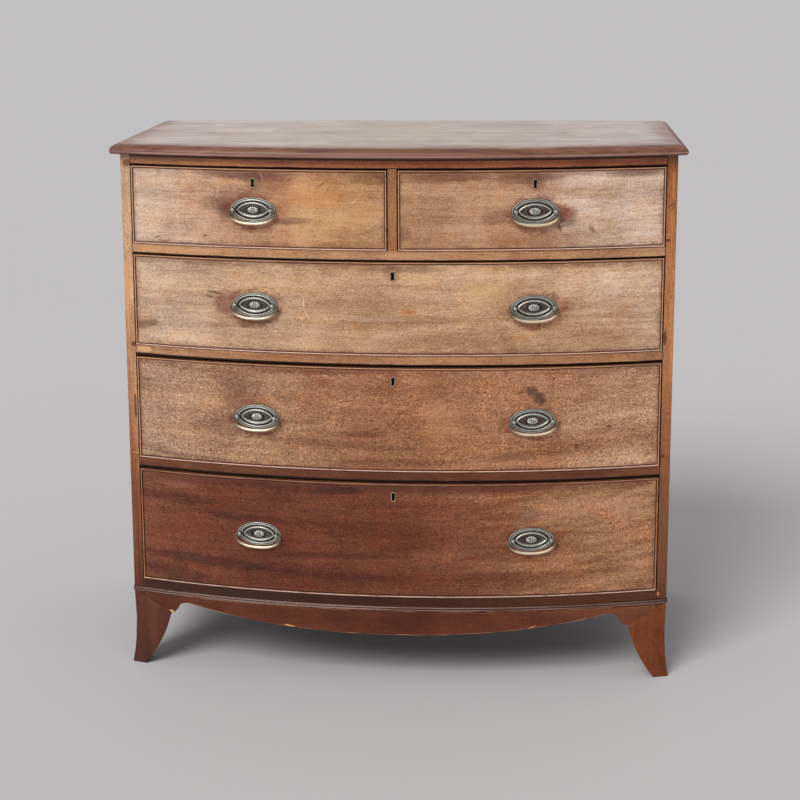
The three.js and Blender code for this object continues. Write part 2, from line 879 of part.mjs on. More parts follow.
function pinHole(x) {
  const sides = 6;
  const radius = (bailPinRadius + 2 * seat) / Math.cos(Math.PI / sides);
  const hole = new THREE.CylinderGeometry(radius, radius, 4 * postRadius, sides);
  return solidOf(hole.rotateZ(Math.PI / 2).translate(x, -bailStandOff, 0));
}

function handlePlate() {
  const half = postSpacing / 2;
  return ovalPlate().add(post(-half)).add(post(half)).subtract(pinHole(-half)).subtract(pinHole(half));
}

function shankHoles(x, z) {
  const sides = 6;
  const radius = (shankRadius + seat) / Math.cos(Math.PI / sides);
  return [-postSpacing / 2, postSpacing / 2].map((side) => {
    const hole = new THREE.CylinderGeometry(radius, radius, 4 * drawerFrontThickness, sides);
    return solidOf(ontoBow(hole.translate(side, 0, 0), x, z));
  });
}

// The bail's line from its right pin down to its middle, as shares of its half width and its drop.
const bailShares = [
  [0.9, 0],
  [0.985, 0.06],
  [1, 0.2],
  [0.93, 0.52],
  [0.6, 0.87],
  [0, 1],
];

function bailLine() {
  const half = bailWidth / 2;
  const pinEnd = postSpacing / 2 - postRadius + seat;
  const bend = bailShares.map(([outShare, dropShare]) => [outShare * half, -dropShare * bailDrop]);
  const right = [[pinEnd, 0], ...bend];
  const left = right.slice(0, -1).map(([x, z]) => [-x, z]);
  return [...right, ...left.reverse()].map(([x, z]) => new THREE.Vector3(x, -bailStandOff, z));
}

function bail() {
  const line = new THREE.CatmullRomCurve3(bailLine(), false, "centripetal");
  const steps = 14;
  const sides = 6;
  const inwards = new THREE.Vector3(0, 1, 0);
  const rings = Array.from({ length: steps + 1 }, (unused, i) => {
    const centre = line.getPointAt(i / steps);
    const outwards = inwards.clone().cross(line.getTangentAt(i / steps));
    const radius = bailPinRadius + (bailRadius - bailPinRadius) * Math.sin((Math.PI * i) / steps);
    return Array.from({ length: sides }, (none, k) => {
      const turn = (2 * Math.PI * k) / sides;
      const corner = centre.clone().addScaledVector(outwards, radius * Math.cos(turn));
      return corner.addScaledVector(inwards, radius * Math.sin(turn)).toArray();
    });
  });
  const cap = Array.from({ length: sides - 2 }, (unused, k) => [0, k + 1, k + 2]);
  return solidOf(lofted(rings, cap));
}

// The chest

const chest = new THREE.Group();
chest.position.y = -(chestFront + chestBack) / 2;
const mirroredPieces = new THREE.Group();
mirroredPieces.scale.x = -1;
chest.add(mirroredPieces);

function addPair(leftName, rightName, solid, material) {
  chest.add(meshOf(leftName, solid, material));
  mirroredPieces.add(meshOf(rightName, solid, material));
}

function addCarcase() {
  const rebate = beadRebate();
  const mortised = (board, names) => {
    const below = allDrawers.filter(({ name }) => names.includes(name));
    return below.reduce((cut, drawer) => cut.subtract(mortise(drawer)), board);
  };
  const divider = (ceiling) => shelfBoard(railDepth, ceiling, ceiling + dividerThickness);
  addPair("left_side", "right_side", leftSide(rebate), mahogany);
  chest.add(meshOf("top_board", topBoard(), topMahogany));
  chest.add(meshOf("back_boards", backBoards(), pine));
  chest.add(meshOf("bottom_board", shelfBoard(backInner, beadTop, lowerFloor), darkMahogany));
  const topRail = mortised(shelfBoard(railDepth, shortCeiling, caseTop), ["short_left", "short_right"]);
  chest.add(meshOf("top_rail", topRail, mahogany));
  chest.add(meshOf("upper_divider", mortised(divider(upperCeiling), ["upper_long"]), mahogany));
  chest.add(meshOf("middle_divider", mortised(divider(middleCeiling), ["middle_long"]), mahogany));
  chest.add(meshOf("lower_divider", mortised(divider(lowerCeiling), ["lower_long"]), mahogany));
  chest.add(meshOf("upper_dustboard", dustboard(upperCeiling), pine));
  chest.add(meshOf("middle_dustboard", dustboard(middleCeiling), pine));
  chest.add(meshOf("lower_dustboard", dustboard(lowerCeiling), pine));
  chest.add(meshOf("short_drawer_partition", partition(), mahogany));
  chest.add(meshOf("shaped_apron", apron(rebate), darkMahogany));
  chest.add(meshOf("reeded_base_bead", reededBead(), beadWood));
  addPair("front_left_foot", "front_right_foot", frontFoot(), darkMahogany);
  addPair("rear_left_foot", "rear_right_foot", rearFoot(), darkMahogany);
}

// A group square to the bow's face at x, at the height z.
function placeOnBow(x, z) {
  const place = new THREE.Group();
  place.position.set(x, bowY(x, 0), z);
  place.rotation.z = bowAngle(x);
  chest.add(place);
  return place;
}

function addDrawer(drawer) {
  const { name, handleXs, handleZ } = drawer;
  chest.add(meshOf(name + "_drawer_front", drawerFront(drawer), mahogany));
  chest.add(meshOf(name + "_drawer_box", drawerBox(drawer), oak));
  chest.add(meshOf(name + "_drawer_bottom", bottomSpace(drawer, 0), pine));
  const lockPlace = placeOnBow(drawer.lockX, drawer.high);
  lockPlace.add(meshOf(name + "_lock_case", lockCase(), lockBrass));
  lockPlace.add(meshOf(name + "_lock_bolt", lockBolt(), lockBrass));
  for (const x of handleXs) {
    const hand = handleXs.length === 1 ? "" : x < 0 ? "_left" : "_right";
    const place = placeOnBow(x, handleZ);
    place.add(meshOf(name + hand + "_handle_plate", handlePlate(), antiqueBrass));
    place.add(meshOf(name + hand + "_bail", bail(), antiqueBrass));
  }
}

addCarcase();
for (const drawer of allDrawers) addDrawer(drawer);

export default chest;
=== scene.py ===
import json
import math

import bmesh
import bpy
from mathutils import Matrix, Vector

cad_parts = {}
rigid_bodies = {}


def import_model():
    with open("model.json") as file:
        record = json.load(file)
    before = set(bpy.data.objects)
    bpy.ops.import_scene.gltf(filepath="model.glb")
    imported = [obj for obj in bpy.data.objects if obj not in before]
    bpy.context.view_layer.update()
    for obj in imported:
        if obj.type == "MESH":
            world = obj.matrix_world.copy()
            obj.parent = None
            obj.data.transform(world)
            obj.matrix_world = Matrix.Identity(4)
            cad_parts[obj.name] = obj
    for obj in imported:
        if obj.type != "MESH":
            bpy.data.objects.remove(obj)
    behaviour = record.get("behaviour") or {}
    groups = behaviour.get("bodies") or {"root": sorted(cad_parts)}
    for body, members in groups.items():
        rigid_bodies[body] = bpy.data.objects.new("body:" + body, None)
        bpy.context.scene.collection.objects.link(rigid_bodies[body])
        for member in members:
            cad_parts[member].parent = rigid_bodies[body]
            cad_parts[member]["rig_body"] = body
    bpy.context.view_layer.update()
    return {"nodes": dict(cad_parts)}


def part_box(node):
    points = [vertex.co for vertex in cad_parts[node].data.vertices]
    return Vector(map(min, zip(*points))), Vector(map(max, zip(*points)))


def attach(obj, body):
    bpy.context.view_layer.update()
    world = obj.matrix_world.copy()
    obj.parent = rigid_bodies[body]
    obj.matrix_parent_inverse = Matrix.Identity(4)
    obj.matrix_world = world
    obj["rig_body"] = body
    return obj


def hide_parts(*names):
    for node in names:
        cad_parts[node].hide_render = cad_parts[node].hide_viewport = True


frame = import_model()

nodes = frame["nodes"]
scene = bpy.context.scene


def moved(x, y, z):
    return Matrix.Translation((x, y, z))


def turned(degrees, axis):
    return Matrix.Rotation(math.radians(degrees), 4, axis)


# The bow, in metres: the arcs of the front are struck from one centre
bow = {"radius": 1.697656, "centreY": 1.434156, "halfCase": 0.515}


def bowFace(x, proud=0.0):
    return bow["centreY"] - math.sqrt((bow["radius"] + proud) ** 2 - x * x)


def onBow(x, z):  # from a flat workbench place to x on the bow, square to it
    return moved(x, bowFace(x), z) @ Matrix.Rotation(math.asin(x / bow["radius"]), 4, "Z")


# Camera, as the photograph was taken
photoView = {
    "place": (0.241, -3.4695, 1.358), "turn": 5.362, "tip": -11.436, "roll": 0.451,
    "lens": 80.73, "shiftX": 0.05, "shiftY": -0.10,
}


def shown(name, data):
    made = bpy.data.objects.new(name, data)
    scene.collection.objects.link(made)
    return made


def meshOf(form, name):
    mesh = bpy.data.meshes.new(name)
    form.to_mesh(mesh)
    form.free()
    return mesh


def setCamera():
    data = bpy.data.cameras.new("photoCamera")
    data.lens = photoView["lens"]
    data.sensor_width = 36
    data.shift_x = photoView["shiftX"]
    data.shift_y = photoView["shiftY"]
    data.clip_end = 200
    scene.camera = shown("photoCamera", data)
    aim = turned(photoView["turn"], "Z") @ turned(photoView["tip"], "X") @ turned(photoView["roll"], "Y")
    scene.camera.matrix_world = moved(*photoView["place"]) @ aim @ turned(90, "X")


setCamera()
print("camera set")


# Materials: a wire is a socket that takes part in sums
class Wire:
    def __init__(self, finish, socket):
        self.finish = finish
        self.socket = socket

    def worked(self, operation, first, second):
        return self.finish.node("ShaderNodeMath", {"operation": operation}, {0: first, 1: second})

    def __add__(self, other):
        return self.worked("ADD", self, other)

    __radd__ = __add__

    def __sub__(self, other):
        return self.worked("SUBTRACT", self, other)

    def __rsub__(self, other):
        return self.worked("SUBTRACT", other, self)

    def __mul__(self, other):
        return self.worked("MULTIPLY", self, other)

    __rmul__ = __mul__

    def __truediv__(self, other):
        return self.worked("DIVIDE", self, other)

    def __pow__(self, other):
        return self.worked("POWER", self, other)

    def __abs__(self):
        return self.worked("ABSOLUTE", self, 0.0)

    def orLess(self, other):
        return self.worked("MINIMUM", self, other)

    def orMore(self, other):
        return self.worked("MAXIMUM", self, other)


def tint(red, green, blue):  # a colour as a screen shows it, 0 to 255, to the light it stands for
    def light(part):
        share = part / 255
        return share / 12.92 if share <= 0.04045 else ((share + 0.055) / 1.055) ** 2.4
    return light(red), light(green), light(blue)


class Finish:
    def __init__(self, name):
        self.material = bpy.data.materials.new(name)
        self.material.use_nodes = True
        self.tree = self.material.node_tree
        self.shader = self.tree.nodes["Principled BSDF"]
        self.place = self.node("ShaderNodeTexCoord", {}, {}, "Object")
        self.x = self.node("ShaderNodeSeparateXYZ", {}, {0: self.place}, 0)
        parts = self.x.socket.node.outputs
        self.y = Wire(self, parts[1])
        self.z = Wire(self, parts[2])
        self.shader.inputs["Specular IOR Level"].default_value = 0.26
        self.bump = 0.0
        self.depth = 0.0003

    def node(self, kind, settings, sockets, out=0):
        made = self.tree.nodes.new(kind)
        for name, value in settings.items():
            if name == "stops":
                self.setStops(made.color_ramp, value)
            else:
                setattr(made, name, value)
        for name, value in sockets.items():
            self.feed(made.inputs[name], value)
        return Wire(self, made.outputs[out])

    def setStops(self, ramp, stops):
        while len(ramp.elements) < len(stops):
            ramp.elements.new(0.5)
        for element, (share, colour) in zip(ramp.elements, stops):
            element.position = share
            element.color = (*colour, 1.0)

    def feed(self, socket, value):
        if isinstance(value, Wire):
            self.tree.links.new(value.socket, socket)
        elif socket.type == "RGBA":
            socket.default_value = (*value, 1.0)
        else:
            socket.default_value = value

    def noise(self, size, detail=3.0, rough=0.55, warp=0.0, turn=(0, 0, 0), seed=(0, 0, 0)):
        fitted = {"Vector": self.place, "Location": seed, "Rotation": turn, "Scale": size}
        vector = self.node("ShaderNodeMapping", {"vector_type": "TEXTURE"}, fitted)
        values = {"Vector": vector, "Scale": 1.0, "Detail": detail, "Roughness": rough, "Distortion": warp}
        return self.node("ShaderNodeTexNoise", {}, values)

    def ease(self, value, low, high):
        values = {"Value": value, "From Min": low, "From Max": high}
        return self.node("ShaderNodeMapRange", {"interpolation_type": "SMOOTHSTEP"}, values)

    def fall(self, value, low, high):  # 1 below low, 0 above high
        return 1 - self.ease(value, low, high)

    def between(self, value, low, full, fade, high):
        return self.ease(value, low, full) * self.fall(value, fade, high)

    def attribute(self, name):
        return self.node("ShaderNodeAttribute", {"attribute_name": name}, {}, "Fac")

    def intoBow(self):  # how deep behind the bowed face of the case
        fromLine = self.y - bow["centreY"]
        return bow["radius"] - (self.x * self.x + fromLine * fromLine) ** 0.5

    def ramp(self, value, stops):
        return self.node("ShaderNodeValToRGB", {"stops": stops}, {"Fac": value})

    def mix(self, share, first, second, kind="MIX"):
        settings = {"data_type": "RGBA", "blend_type": kind}
        return self.node("ShaderNodeMix", settings, {0: share, 6: first, 7: second}, 2)

    def spot(self, x, z, reachX, reachZ, turn=0.0, soft=0.6, wobble=0.0):  # 1 in an oval's middle, 0 outside
        run = math.cos(math.radians(turn))
        rise = math.sin(math.radians(turn))
        along = ((self.x - x) * run + (self.z - z) * rise) / reachX
        across = ((self.z - z) * run - (self.x - x) * rise) / reachZ
        far = along * along + across * across
        return self.fall(far + wobble if wobble else far, 1 - soft, 1.0)

    def mark(self, place, soft, wobble):  # a spot by its place and reach in millimetres and its turn
        *sizes, turn = place
        return self.spot(*(size / 1000 for size in sizes), turn, soft, wobble)

    def shaded(self, tone):
        return self.mix(1.0, self.colour, tone, "MULTIPLY")

    def stain(self, mask, colour, share=1.0):
        colour = colour if isinstance(colour, Wire) else tint(*colour)
        self.colour = self.mix(mask * share, self.colour, colour)

    def done(self):
        self.feed(self.shader.inputs["Base Color"], self.colour)
        self.feed(self.shader.inputs["Roughness"], self.roughness)
        if self.bump:
            values = {"Strength": self.bump, "Distance": self.depth, "Height": self.height}
            self.feed(self.shader.inputs["Normal"], self.node("ShaderNodeBump", {}, values))
        return self.material


# Wood: how long and how wide the figure runs, by the way the grain of a piece lies
grainWays = {
    "bow": lambda along, across: (along, along, across),
    "x": lambda along, across: (along, across, across),
    "y": lambda along, across: (across, along, across),
    "z": lambda along, across: (across, across, along),
}
mahoganyFigure = {
    "bands": (0.60, 0.045), "streaks": (0.18, 0.010), "fibres": (0.030, 0.0022), "specks": (0.0028, 0.0017),
    "pores": (0.0060, 0.0006), "clouds": 0.10, "slants": (0.26, 0.018), "slantTurn": -15, "bandShare": 1.0,
    "streakShare": 0.85, "fibreShare": 0.9, "speckShare": 2.0, "cloudShare": 1.1, "slantShare": 0.0,
    "warmShare": 0.5, "warmth": (1.10, 0.97, 0.78), "crackle": 0.0, "paleDots": (1.7, 1.7, 1.65),
    "darkDots": (0.4, 0.33, 0.3), "shade": (0.58, 0.47, 0.41), "light": (1.32, 1.40, 1.46), "poreShare": 0.42,
    "slantFrom": (0.0, 0.25), "gloss": 0.36, "bump": 0.08,
}


def woodFigure(wood, way, figure, seed):
    sized = grainWays[way]
    shift = (seed * 1.7, seed * 2.3, seed * 3.1)
    wood.bands = wood.noise(sized(*figure["bands"]), 3, 0.5, 0.5, seed=shift)
    wood.streaks = wood.noise(sized(*figure["streaks"]), 4, 0.6, 0.3, seed=shift)
    fibres = wood.noise(sized(*figure["fibres"]), 2, 0.6, seed=shift)
    specks = wood.noise(sized(*figure["specks"]), 2, 0.6, seed=shift)
    pores = wood.noise(sized(*figure["pores"]), 1, 0.5, seed=shift)
    clouds = wood.noise((figure["clouds"],) * 3, 3, 0.55, 0.6, seed=shift)
    parts = {"band": wood.bands, "streak": wood.streaks, "fibre": fibres, "speck": specks, "cloud": clouds}
    share = 0.5
    for name, part in parts.items():
        share = (part - 0.5) * figure[name + "Share"] + share
    if figure["slantShare"]:
        wide, tall = figure["slants"]
        turn = (0, math.radians(figure["slantTurn"]), 0)
        slants = wood.noise((wide, wide, tall), 2, 0.5, 0.4, turn, shift)
        share = share + (slants - 0.5) * wood.ease(wood.x, *figure["slantFrom"]) * figure["slantShare"]
    wood.figured = wood.mix(share, figure["shade"], figure["light"])
    wood.pores = wood.ease(pores, 0.58, 0.70).orMore(wood.ease(specks, 0.62, 0.74))
    wood.height = fibres * 0.4 - wood.pores


def mahogany(name, tones, way="bow", seed=1.0, dark=(58, 28, 20), fade="x", reach=(-0.5, 0.5), **changes):
    figure = {**mahoganyFigure, **changes}
    wood = Finish(name)
    woodFigure(wood, way, figure, seed)
    drift = (getattr(wood, fade) - reach[0]) / (reach[1] - reach[0]) + (wood.bands - 0.5) * 0.5
    stops = [(index / (len(tones) - 1), tint(*tone)) for index, tone in enumerate(tones)]
    wood.colour = wood.ramp(drift, stops)
    wood.colour = wood.shaded(wood.figured)
    warmth = wood.noise((0.07, 0.07, 0.045), 3, 0.6, 0.5, seed=(seed, seed, 0))
    wood.stain(wood.ease(warmth, 0.44, 0.66), wood.shaded(figure["warmth"]), figure["warmShare"])
    if figure["crackle"]:  # crazed polish, in pale and dark dots
        crazed = wood.noise((0.0046, 0.0046, 0.0034), 3, 0.75, 0.4, seed=(0, 0, seed))
        wood.stain(wood.ease(crazed, 0.54, 0.66), wood.shaded(figure["paleDots"]), figure["crackle"])
        wood.stain(wood.fall(crazed, 0.34, 0.46), wood.shaded(figure["darkDots"]), figure["crackle"])
    wood.stain(wood.pores, dark, figure["poreShare"])
    wood.roughness = figure["gloss"] + (wood.streaks - 0.5) * 0.18 + wood.pores * 0.2
    wood.bump = figure["bump"]
    return wood


plainWoods = {
    "pine": {
        "tones": [(196, 164, 124), (184, 148, 108)],
        "dark": (120, 82, 52), "gloss": 0.62, "streaks": (0.9, 0.012), "bands": (1.4, 0.05),
        "shade": (0.72, 0.62, 0.5), "light": (1.16, 1.18, 1.2), "warmShare": 0.1, "poreShare": 0.15,
        "bump": 0.12,
    },
    "oak": {
        "tones": [(200, 172, 136), (184, 154, 118)],
        "dark": (104, 76, 52), "gloss": 0.58, "streaks": (0.35, 0.004), "pores": (0.016, 0.0006),
        "shade": (0.70, 0.62, 0.52), "light": (1.18, 1.18, 1.2), "warmShare": 0.1, "poreShare": 0.6,
        "bump": 0.12,
    },
}


def plainWood(name, kind, way, seed):
    wood = mahogany(name, way=way, seed=seed, **plainWoods[kind])
    age = wood.noise((0.25, 0.25, 0.25), 4, 0.6, seed=(seed, 0, 0))
    wood.stain(wood.ease(age, 0.5, 0.75), (104, 78, 54), 0.45)
    return wood.done()


metals = {
    # the plate's high tone is partly polished brass and partly painted highlight
    "plate": {
        "low": (18, 15, 13), "field": (70, 54, 48), "mid": (136, 140, 130), "high": (222, 216, 206),
        "gloss": 0.3, "metal": 0.6,
    },
    "bail": {
        "low": (40, 34, 26), "field": (86, 78, 64), "mid": (150, 138, 114), "high": (236, 214, 180),
        "gloss": 0.28, "metal": 0.5,
    },
    "thread": {
        "low": (78, 70, 52), "mid": (150, 140, 112), "high": (216, 206, 176), "gloss": 0.4, "metal": 0.6,
    },
    "lock": {
        "low": (84, 64, 38), "mid": (148, 122, 74), "high": (194, 166, 106), "gloss": 0.42, "metal": 0.85,
    },
    "iron": {"low": (34, 28, 26), "mid": (72, 62, 56), "high": (118, 106, 96), "gloss": 0.5, "metal": 0.7},
}


def agedMetal(name, kind, worked=False):
    look = metals[kind]
    metal = Finish(name)
    cloud = metal.noise((0.012, 0.012, 0.012), 4, 0.6)
    grit = metal.noise((0.0016, 0.0016, 0.0016), 3, 0.6)
    share = 0.25 + cloud * 0.5 + (grit - 0.5) * 0.4
    if worked:
        # on worked brass the brightness follows the raised attribute: polish worn onto the relief and, on the
        # plates, painted highlight
        share = metal.attribute("raised") * 0.8 + (cloud - 0.5) * 0.3 + (grit - 0.5) * 0.16 + 0.08
    stops = [(0.05, tint(*look["low"])), (0.45, tint(*look["mid"])), (0.9, tint(*look["high"]))]
    if worked:
        stops.insert(1, (0.18, tint(*look["field"])))
    metal.colour = metal.ramp(share, stops)
    metal.roughness = look["gloss"] + (1 - share) * 0.2 + (grit - 0.5) * 0.15
    metal.feed(metal.shader.inputs["Metallic"], metal.ease(share, -0.1, 0.5) * look["metal"])
    metal.height = cloud * 0.4 + grit
    metal.bump = 0.25
    metal.depth = 0.0002
    return metal


keyhole = {"deep": (0.0165, 0.0175), "down": 0.004, "reach": (0.014, 0.016), "pin": 0.0016}


def lockMetalWithKeyholeShade():  # painted shade inside the keyholes, but for the drill pins
    metal = agedMetal("lock_metal_keyhole_shade", "lock")
    front = metal.fall(metal.intoBow(), *keyhole["deep"])
    keyholeShade = pins = 0.0
    for name, look in drawerLooks.items():
        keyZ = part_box(name + "_drawer_front")[1].z - drawerWear["keyDrop"]
        keyholeShade = metal.spot(look["keyX"], keyZ - keyhole["down"], *keyhole["reach"], soft=0.2) + keyholeShade
        pins = metal.spot(look["keyX"], keyZ, keyhole["pin"], keyhole["pin"], soft=0.2) + pins
    # painted shade, where the keyholes show the lock case
    metal.stain(front * keyholeShade * (1 - pins), (26, 18, 14))
    return metal.done()


# Making pieces
def only(kind, items):
    return [item for item in items if isinstance(item, kind)]


def coneIn(form, segments, radius, far, depth, place):
    sizes = {"segments": segments, "radius1": radius, "radius2": far, "depth": depth}
    return bmesh.ops.create_cone(form, cap_ends=True, matrix=place, **sizes)["verts"]


def mergedCopy(name):  # a CAD node as one form with whole faces
    form = bmesh.new()
    form.from_mesh(nodes[name].data)
    bmesh.ops.remove_doubles(form, verts=form.verts, dist=0.00002)
    bmesh.ops.dissolve_limit(form, angle_limit=math.radians(0.3), verts=form.verts, edges=form.edges)
    return form


def soften(form, width, steps=2, chosen=None):  # eases the sharp outer edges
    sharp = [
        edge for edge in form.edges
        if len(edge.link_faces) == 2 and edge.is_convex and edge.calc_length() > 4 * width
        and edge.calc_face_angle(0) > math.radians(36) and (chosen is None or chosen(edge))
    ]
    eased = form.faces.layers.int.get("eased") or form.faces.layers.int.new("eased")
    fresh = bmesh.ops.bevel(
        form, geom=sharp, offset=width, offset_type="OFFSET", segments=steps, profile=0.5,
        affect="EDGES", material=-1, clamp_overlap=False,
    )["faces"]
    for face in fresh:
        face[eased] = 1


def lightAsArcs(mesh):  # whole faces stay flat or follow the bow, and only the eased edges turn the light
    eased = mesh.attributes.get("eased")
    soft = [bool(eased.data[face.index].value) if eased else False for face in mesh.polygons]
    mains = {}
    for face in mesh.polygons:
        if not soft[face.index]:
            for index in face.vertices:
                mains.setdefault(index, []).append(face)

    def facing(face, index):
        place = mesh.vertices[index].co
        outwards = Vector((place.x, place.y - bow["centreY"], 0)).normalized()
        middle = Vector((face.center.x, face.center.y - bow["centreY"], 0)).normalized()
        match = face.normal.dot(middle)
        return outwards * math.copysign(1, match) if abs(match) > 0.9985 else face.normal

    normals = []
    for face in mesh.polygons:
        for index in face.vertices:
            if not soft[face.index]:
                normals.append(facing(face, index))
            elif index in mains:
                near = max(mains[index], key=lambda main: main.normal.dot(face.normal))
                normals.append(facing(near, index))
            else:
                normals.append(mesh.vertices[index].normal.copy())
    mesh.normals_split_custom_set(normals)


def piece(form, name, finish, body, stands=(), round=36, arcs=False):
    mesh = meshOf(form, name)
    made = shown(name, mesh)
    mesh.materials.append(finish)
    mesh.shade_smooth()
    if arcs:
        lightAsArcs(mesh)
    else:
        mesh.set_sharp_from_angle(angle=math.radians(round))
    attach(made, body)
    if stands:
        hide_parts(*stands)


def bodyOf(name):
    return nodes[name]["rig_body"]


def reworked(node, title, finish, ease=0.0, steps=2, chosen=None, arcs=True):
    form = mergedCopy(node)
    if ease:
        soften(form, ease, steps, chosen)
    piece(form, title, finish, bodyOf(node), [node], arcs=arcs)


def faceOut(form):
    bmesh.ops.recalc_face_normals(form, faces=form.faces)


def evaluated(made):
    ready = made.evaluated_get(bpy.context.evaluated_depsgraph_get())
    form = bmesh.new()
    form.from_mesh(bpy.data.meshes.new_from_object(ready))
    return form


def carved(form, cutter):  # the form less the cutter
    pair = [shown("carving", meshOf(part, "carving")) for part in (form, cutter)]
    cut = pair[0].modifiers.new("cut", "BOOLEAN")
    cut.operation = "DIFFERENCE"
    cut.solver = "EXACT"
    cut.object = pair[1]
    left = evaluated(pair[0])
    for made in pair:
        bpy.data.objects.remove(made)
    return left


# Carcase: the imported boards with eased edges, each in its own cut of wood
upright = {"way": "z", "fade": "z", "reach": (0.1, 1.0)}
footCut = {"way": "z", "fade": "z", "reach": (0, 0.15)}
carcaseBoards = {
    "left_side": {
        "tones": [(80, 40, 26), (144, 90, 58), (210, 166, 126), (192, 156, 128)], "seed": 1.3, **upright,
    },
    "right_side": {
        "tones": [(82, 44, 28), (130, 80, 48), (190, 128, 84), (154, 92, 50)], "seed": 2.1, **upright,
    },
    "top_rail": {"tones": [(176, 122, 86), (182, 104, 62), (160, 92, 62)], "seed": 3.4},
    "upper_divider": {"tones": [(184, 140, 104), (176, 130, 92), (180, 134, 98)], "seed": 4.2},
    "middle_divider": {"tones": [(178, 132, 96), (166, 118, 82), (172, 124, 88)], "seed": 5.9},
    "lower_divider": {"tones": [(116, 70, 46), (96, 52, 32), (106, 60, 36)], "seed": 6.6},
    "short_drawer_partition": {"tones": [(158, 112, 76), (150, 102, 66)], "way": "z", "seed": 7.7},
    "bottom_board": {"tones": [(56, 30, 20), (52, 25, 15), (80, 42, 22)], "seed": 8.1, "warmShare": 0.4},
    "shaped_apron": {"tones": [(98, 52, 30), (88, 42, 22), (108, 58, 38)], "seed": 9.5, "warmShare": 0.4},
    "front_left_foot": {"tones": [(78, 42, 26), (88, 48, 30)], "seed": 10.3, **footCut},
    "front_right_foot": {"tones": [(122, 60, 26), (112, 58, 30)], "seed": 11.8, **footCut},
    "rear_left_foot": {"tones": [(72, 42, 32), (84, 48, 34)], "seed": 12.2, **footCut},
    "rear_right_foot": {"tones": [(76, 42, 30), (86, 48, 34)], "seed": 13.6, **footCut},
}
# Its wear and painted shade: the quirk lines, a painted shade under a board over the gap, are given by how
# high they run at its left and right end, and
# "chips" are x, z, reach along, reach up, turn and tone, with places and reaches in millimetres
carcaseWear = {
    "ease": {"shaped_apron": 0.0010, "bottom_board": 0.0008, "top_rail": 0.0005},
    "plainEase": 0.0007, "footEase": 0.0010, "plainRub": 0.3, "rubTone": (214, 164, 118),
    "cloud": ((60, 30, 22), 0.30), "shadeTone": (24, 12, 8), "stray": 0.003, "halfOpening": 0.495,
    "halfPartition": 0.009, "apronEnd": (0.405, 0.415), "underTop": (0.0036, 0.0056),
    "overGap": (-0.0002, 0.0007), "besideGap": (0.0006, 0.0018), "inFace": (0.002, 0.004),
    "quirkShade": {
        "top_rail": (0.0012, 0.0020), "upper_divider": (0.0022, 0.0016), "middle_divider": (0.0034, 0.0012),
        "lower_divider": (0.0034, 0.0022),
    },
    "rubbed": {"shaped_apron": 0.75, "front_left_foot": 0.12, "front_right_foot": 0.12},
    "chips": {
        "shaped_apron": [
            (-200, 106.5, 12, 2.2, -12, (214, 158, 104)), (-437, 112.5, 7, 2.2, -20, (222, 170, 116)),
            (260, 113, 10, 1.2, 18, (190, 140, 96)), (20, 99, 16, 1, 0, (186, 132, 90)),
        ],
        "bottom_board": [(499, 165, 3, 5.5, 0, (206, 122, 66))],
        "right_side": [
            (508, 950, 4, 32, 0, (182, 114, 64)), (507, 880, 5, 22, 0, (186, 118, 62)),
            (507, 610, 4, 36, 0, (174, 112, 64)), (504, 910, 12, 1.1, 28, (84, 44, 26)),
            (499, 664, 3, 18, 0, (84, 48, 32)), (500, 437, 5, 5, 0, (84, 46, 30)),
            (500, 846, 5, 4, 0, (84, 46, 30)), (498.5, 166, 2.6, 5.5, 0, (206, 122, 66)),
        ],
        "left_side": [
            (-509, 740, 4, 70, 0, (204, 146, 98)), (-505, 426.5, 10, 0.9, 0, (204, 168, 134)),
            (-500, 640, 5, 6, 0, (96, 56, 36)), (-500, 520, 3, 30, 0, (92, 52, 34)),
            (-499, 350, 3, 40, 0, (120, 70, 46)), (-502, 985, 10, 8, 0, (116, 72, 52)),
        ],
        "middle_divider": [(-478, 632, 16, 7, 0, (208, 160, 116))],
        # the top rail's two near-black chips along its lower edge are painted shade over the gap above the
        # drawers
        "top_rail": [(-186, 984.5, 42, 2.2, -1, (50, 22, 16)), (226, 985, 30, 2, 1, (50, 22, 16))],
    },
}
paleBoards = {  # the way of the grain, and a seed
    "back_boards": ("z", 1.1), "upper_dustboard": ("x", 2.2), "middle_dustboard": ("x", 3.3),
    "lower_dustboard": ("x", 4.4),
}


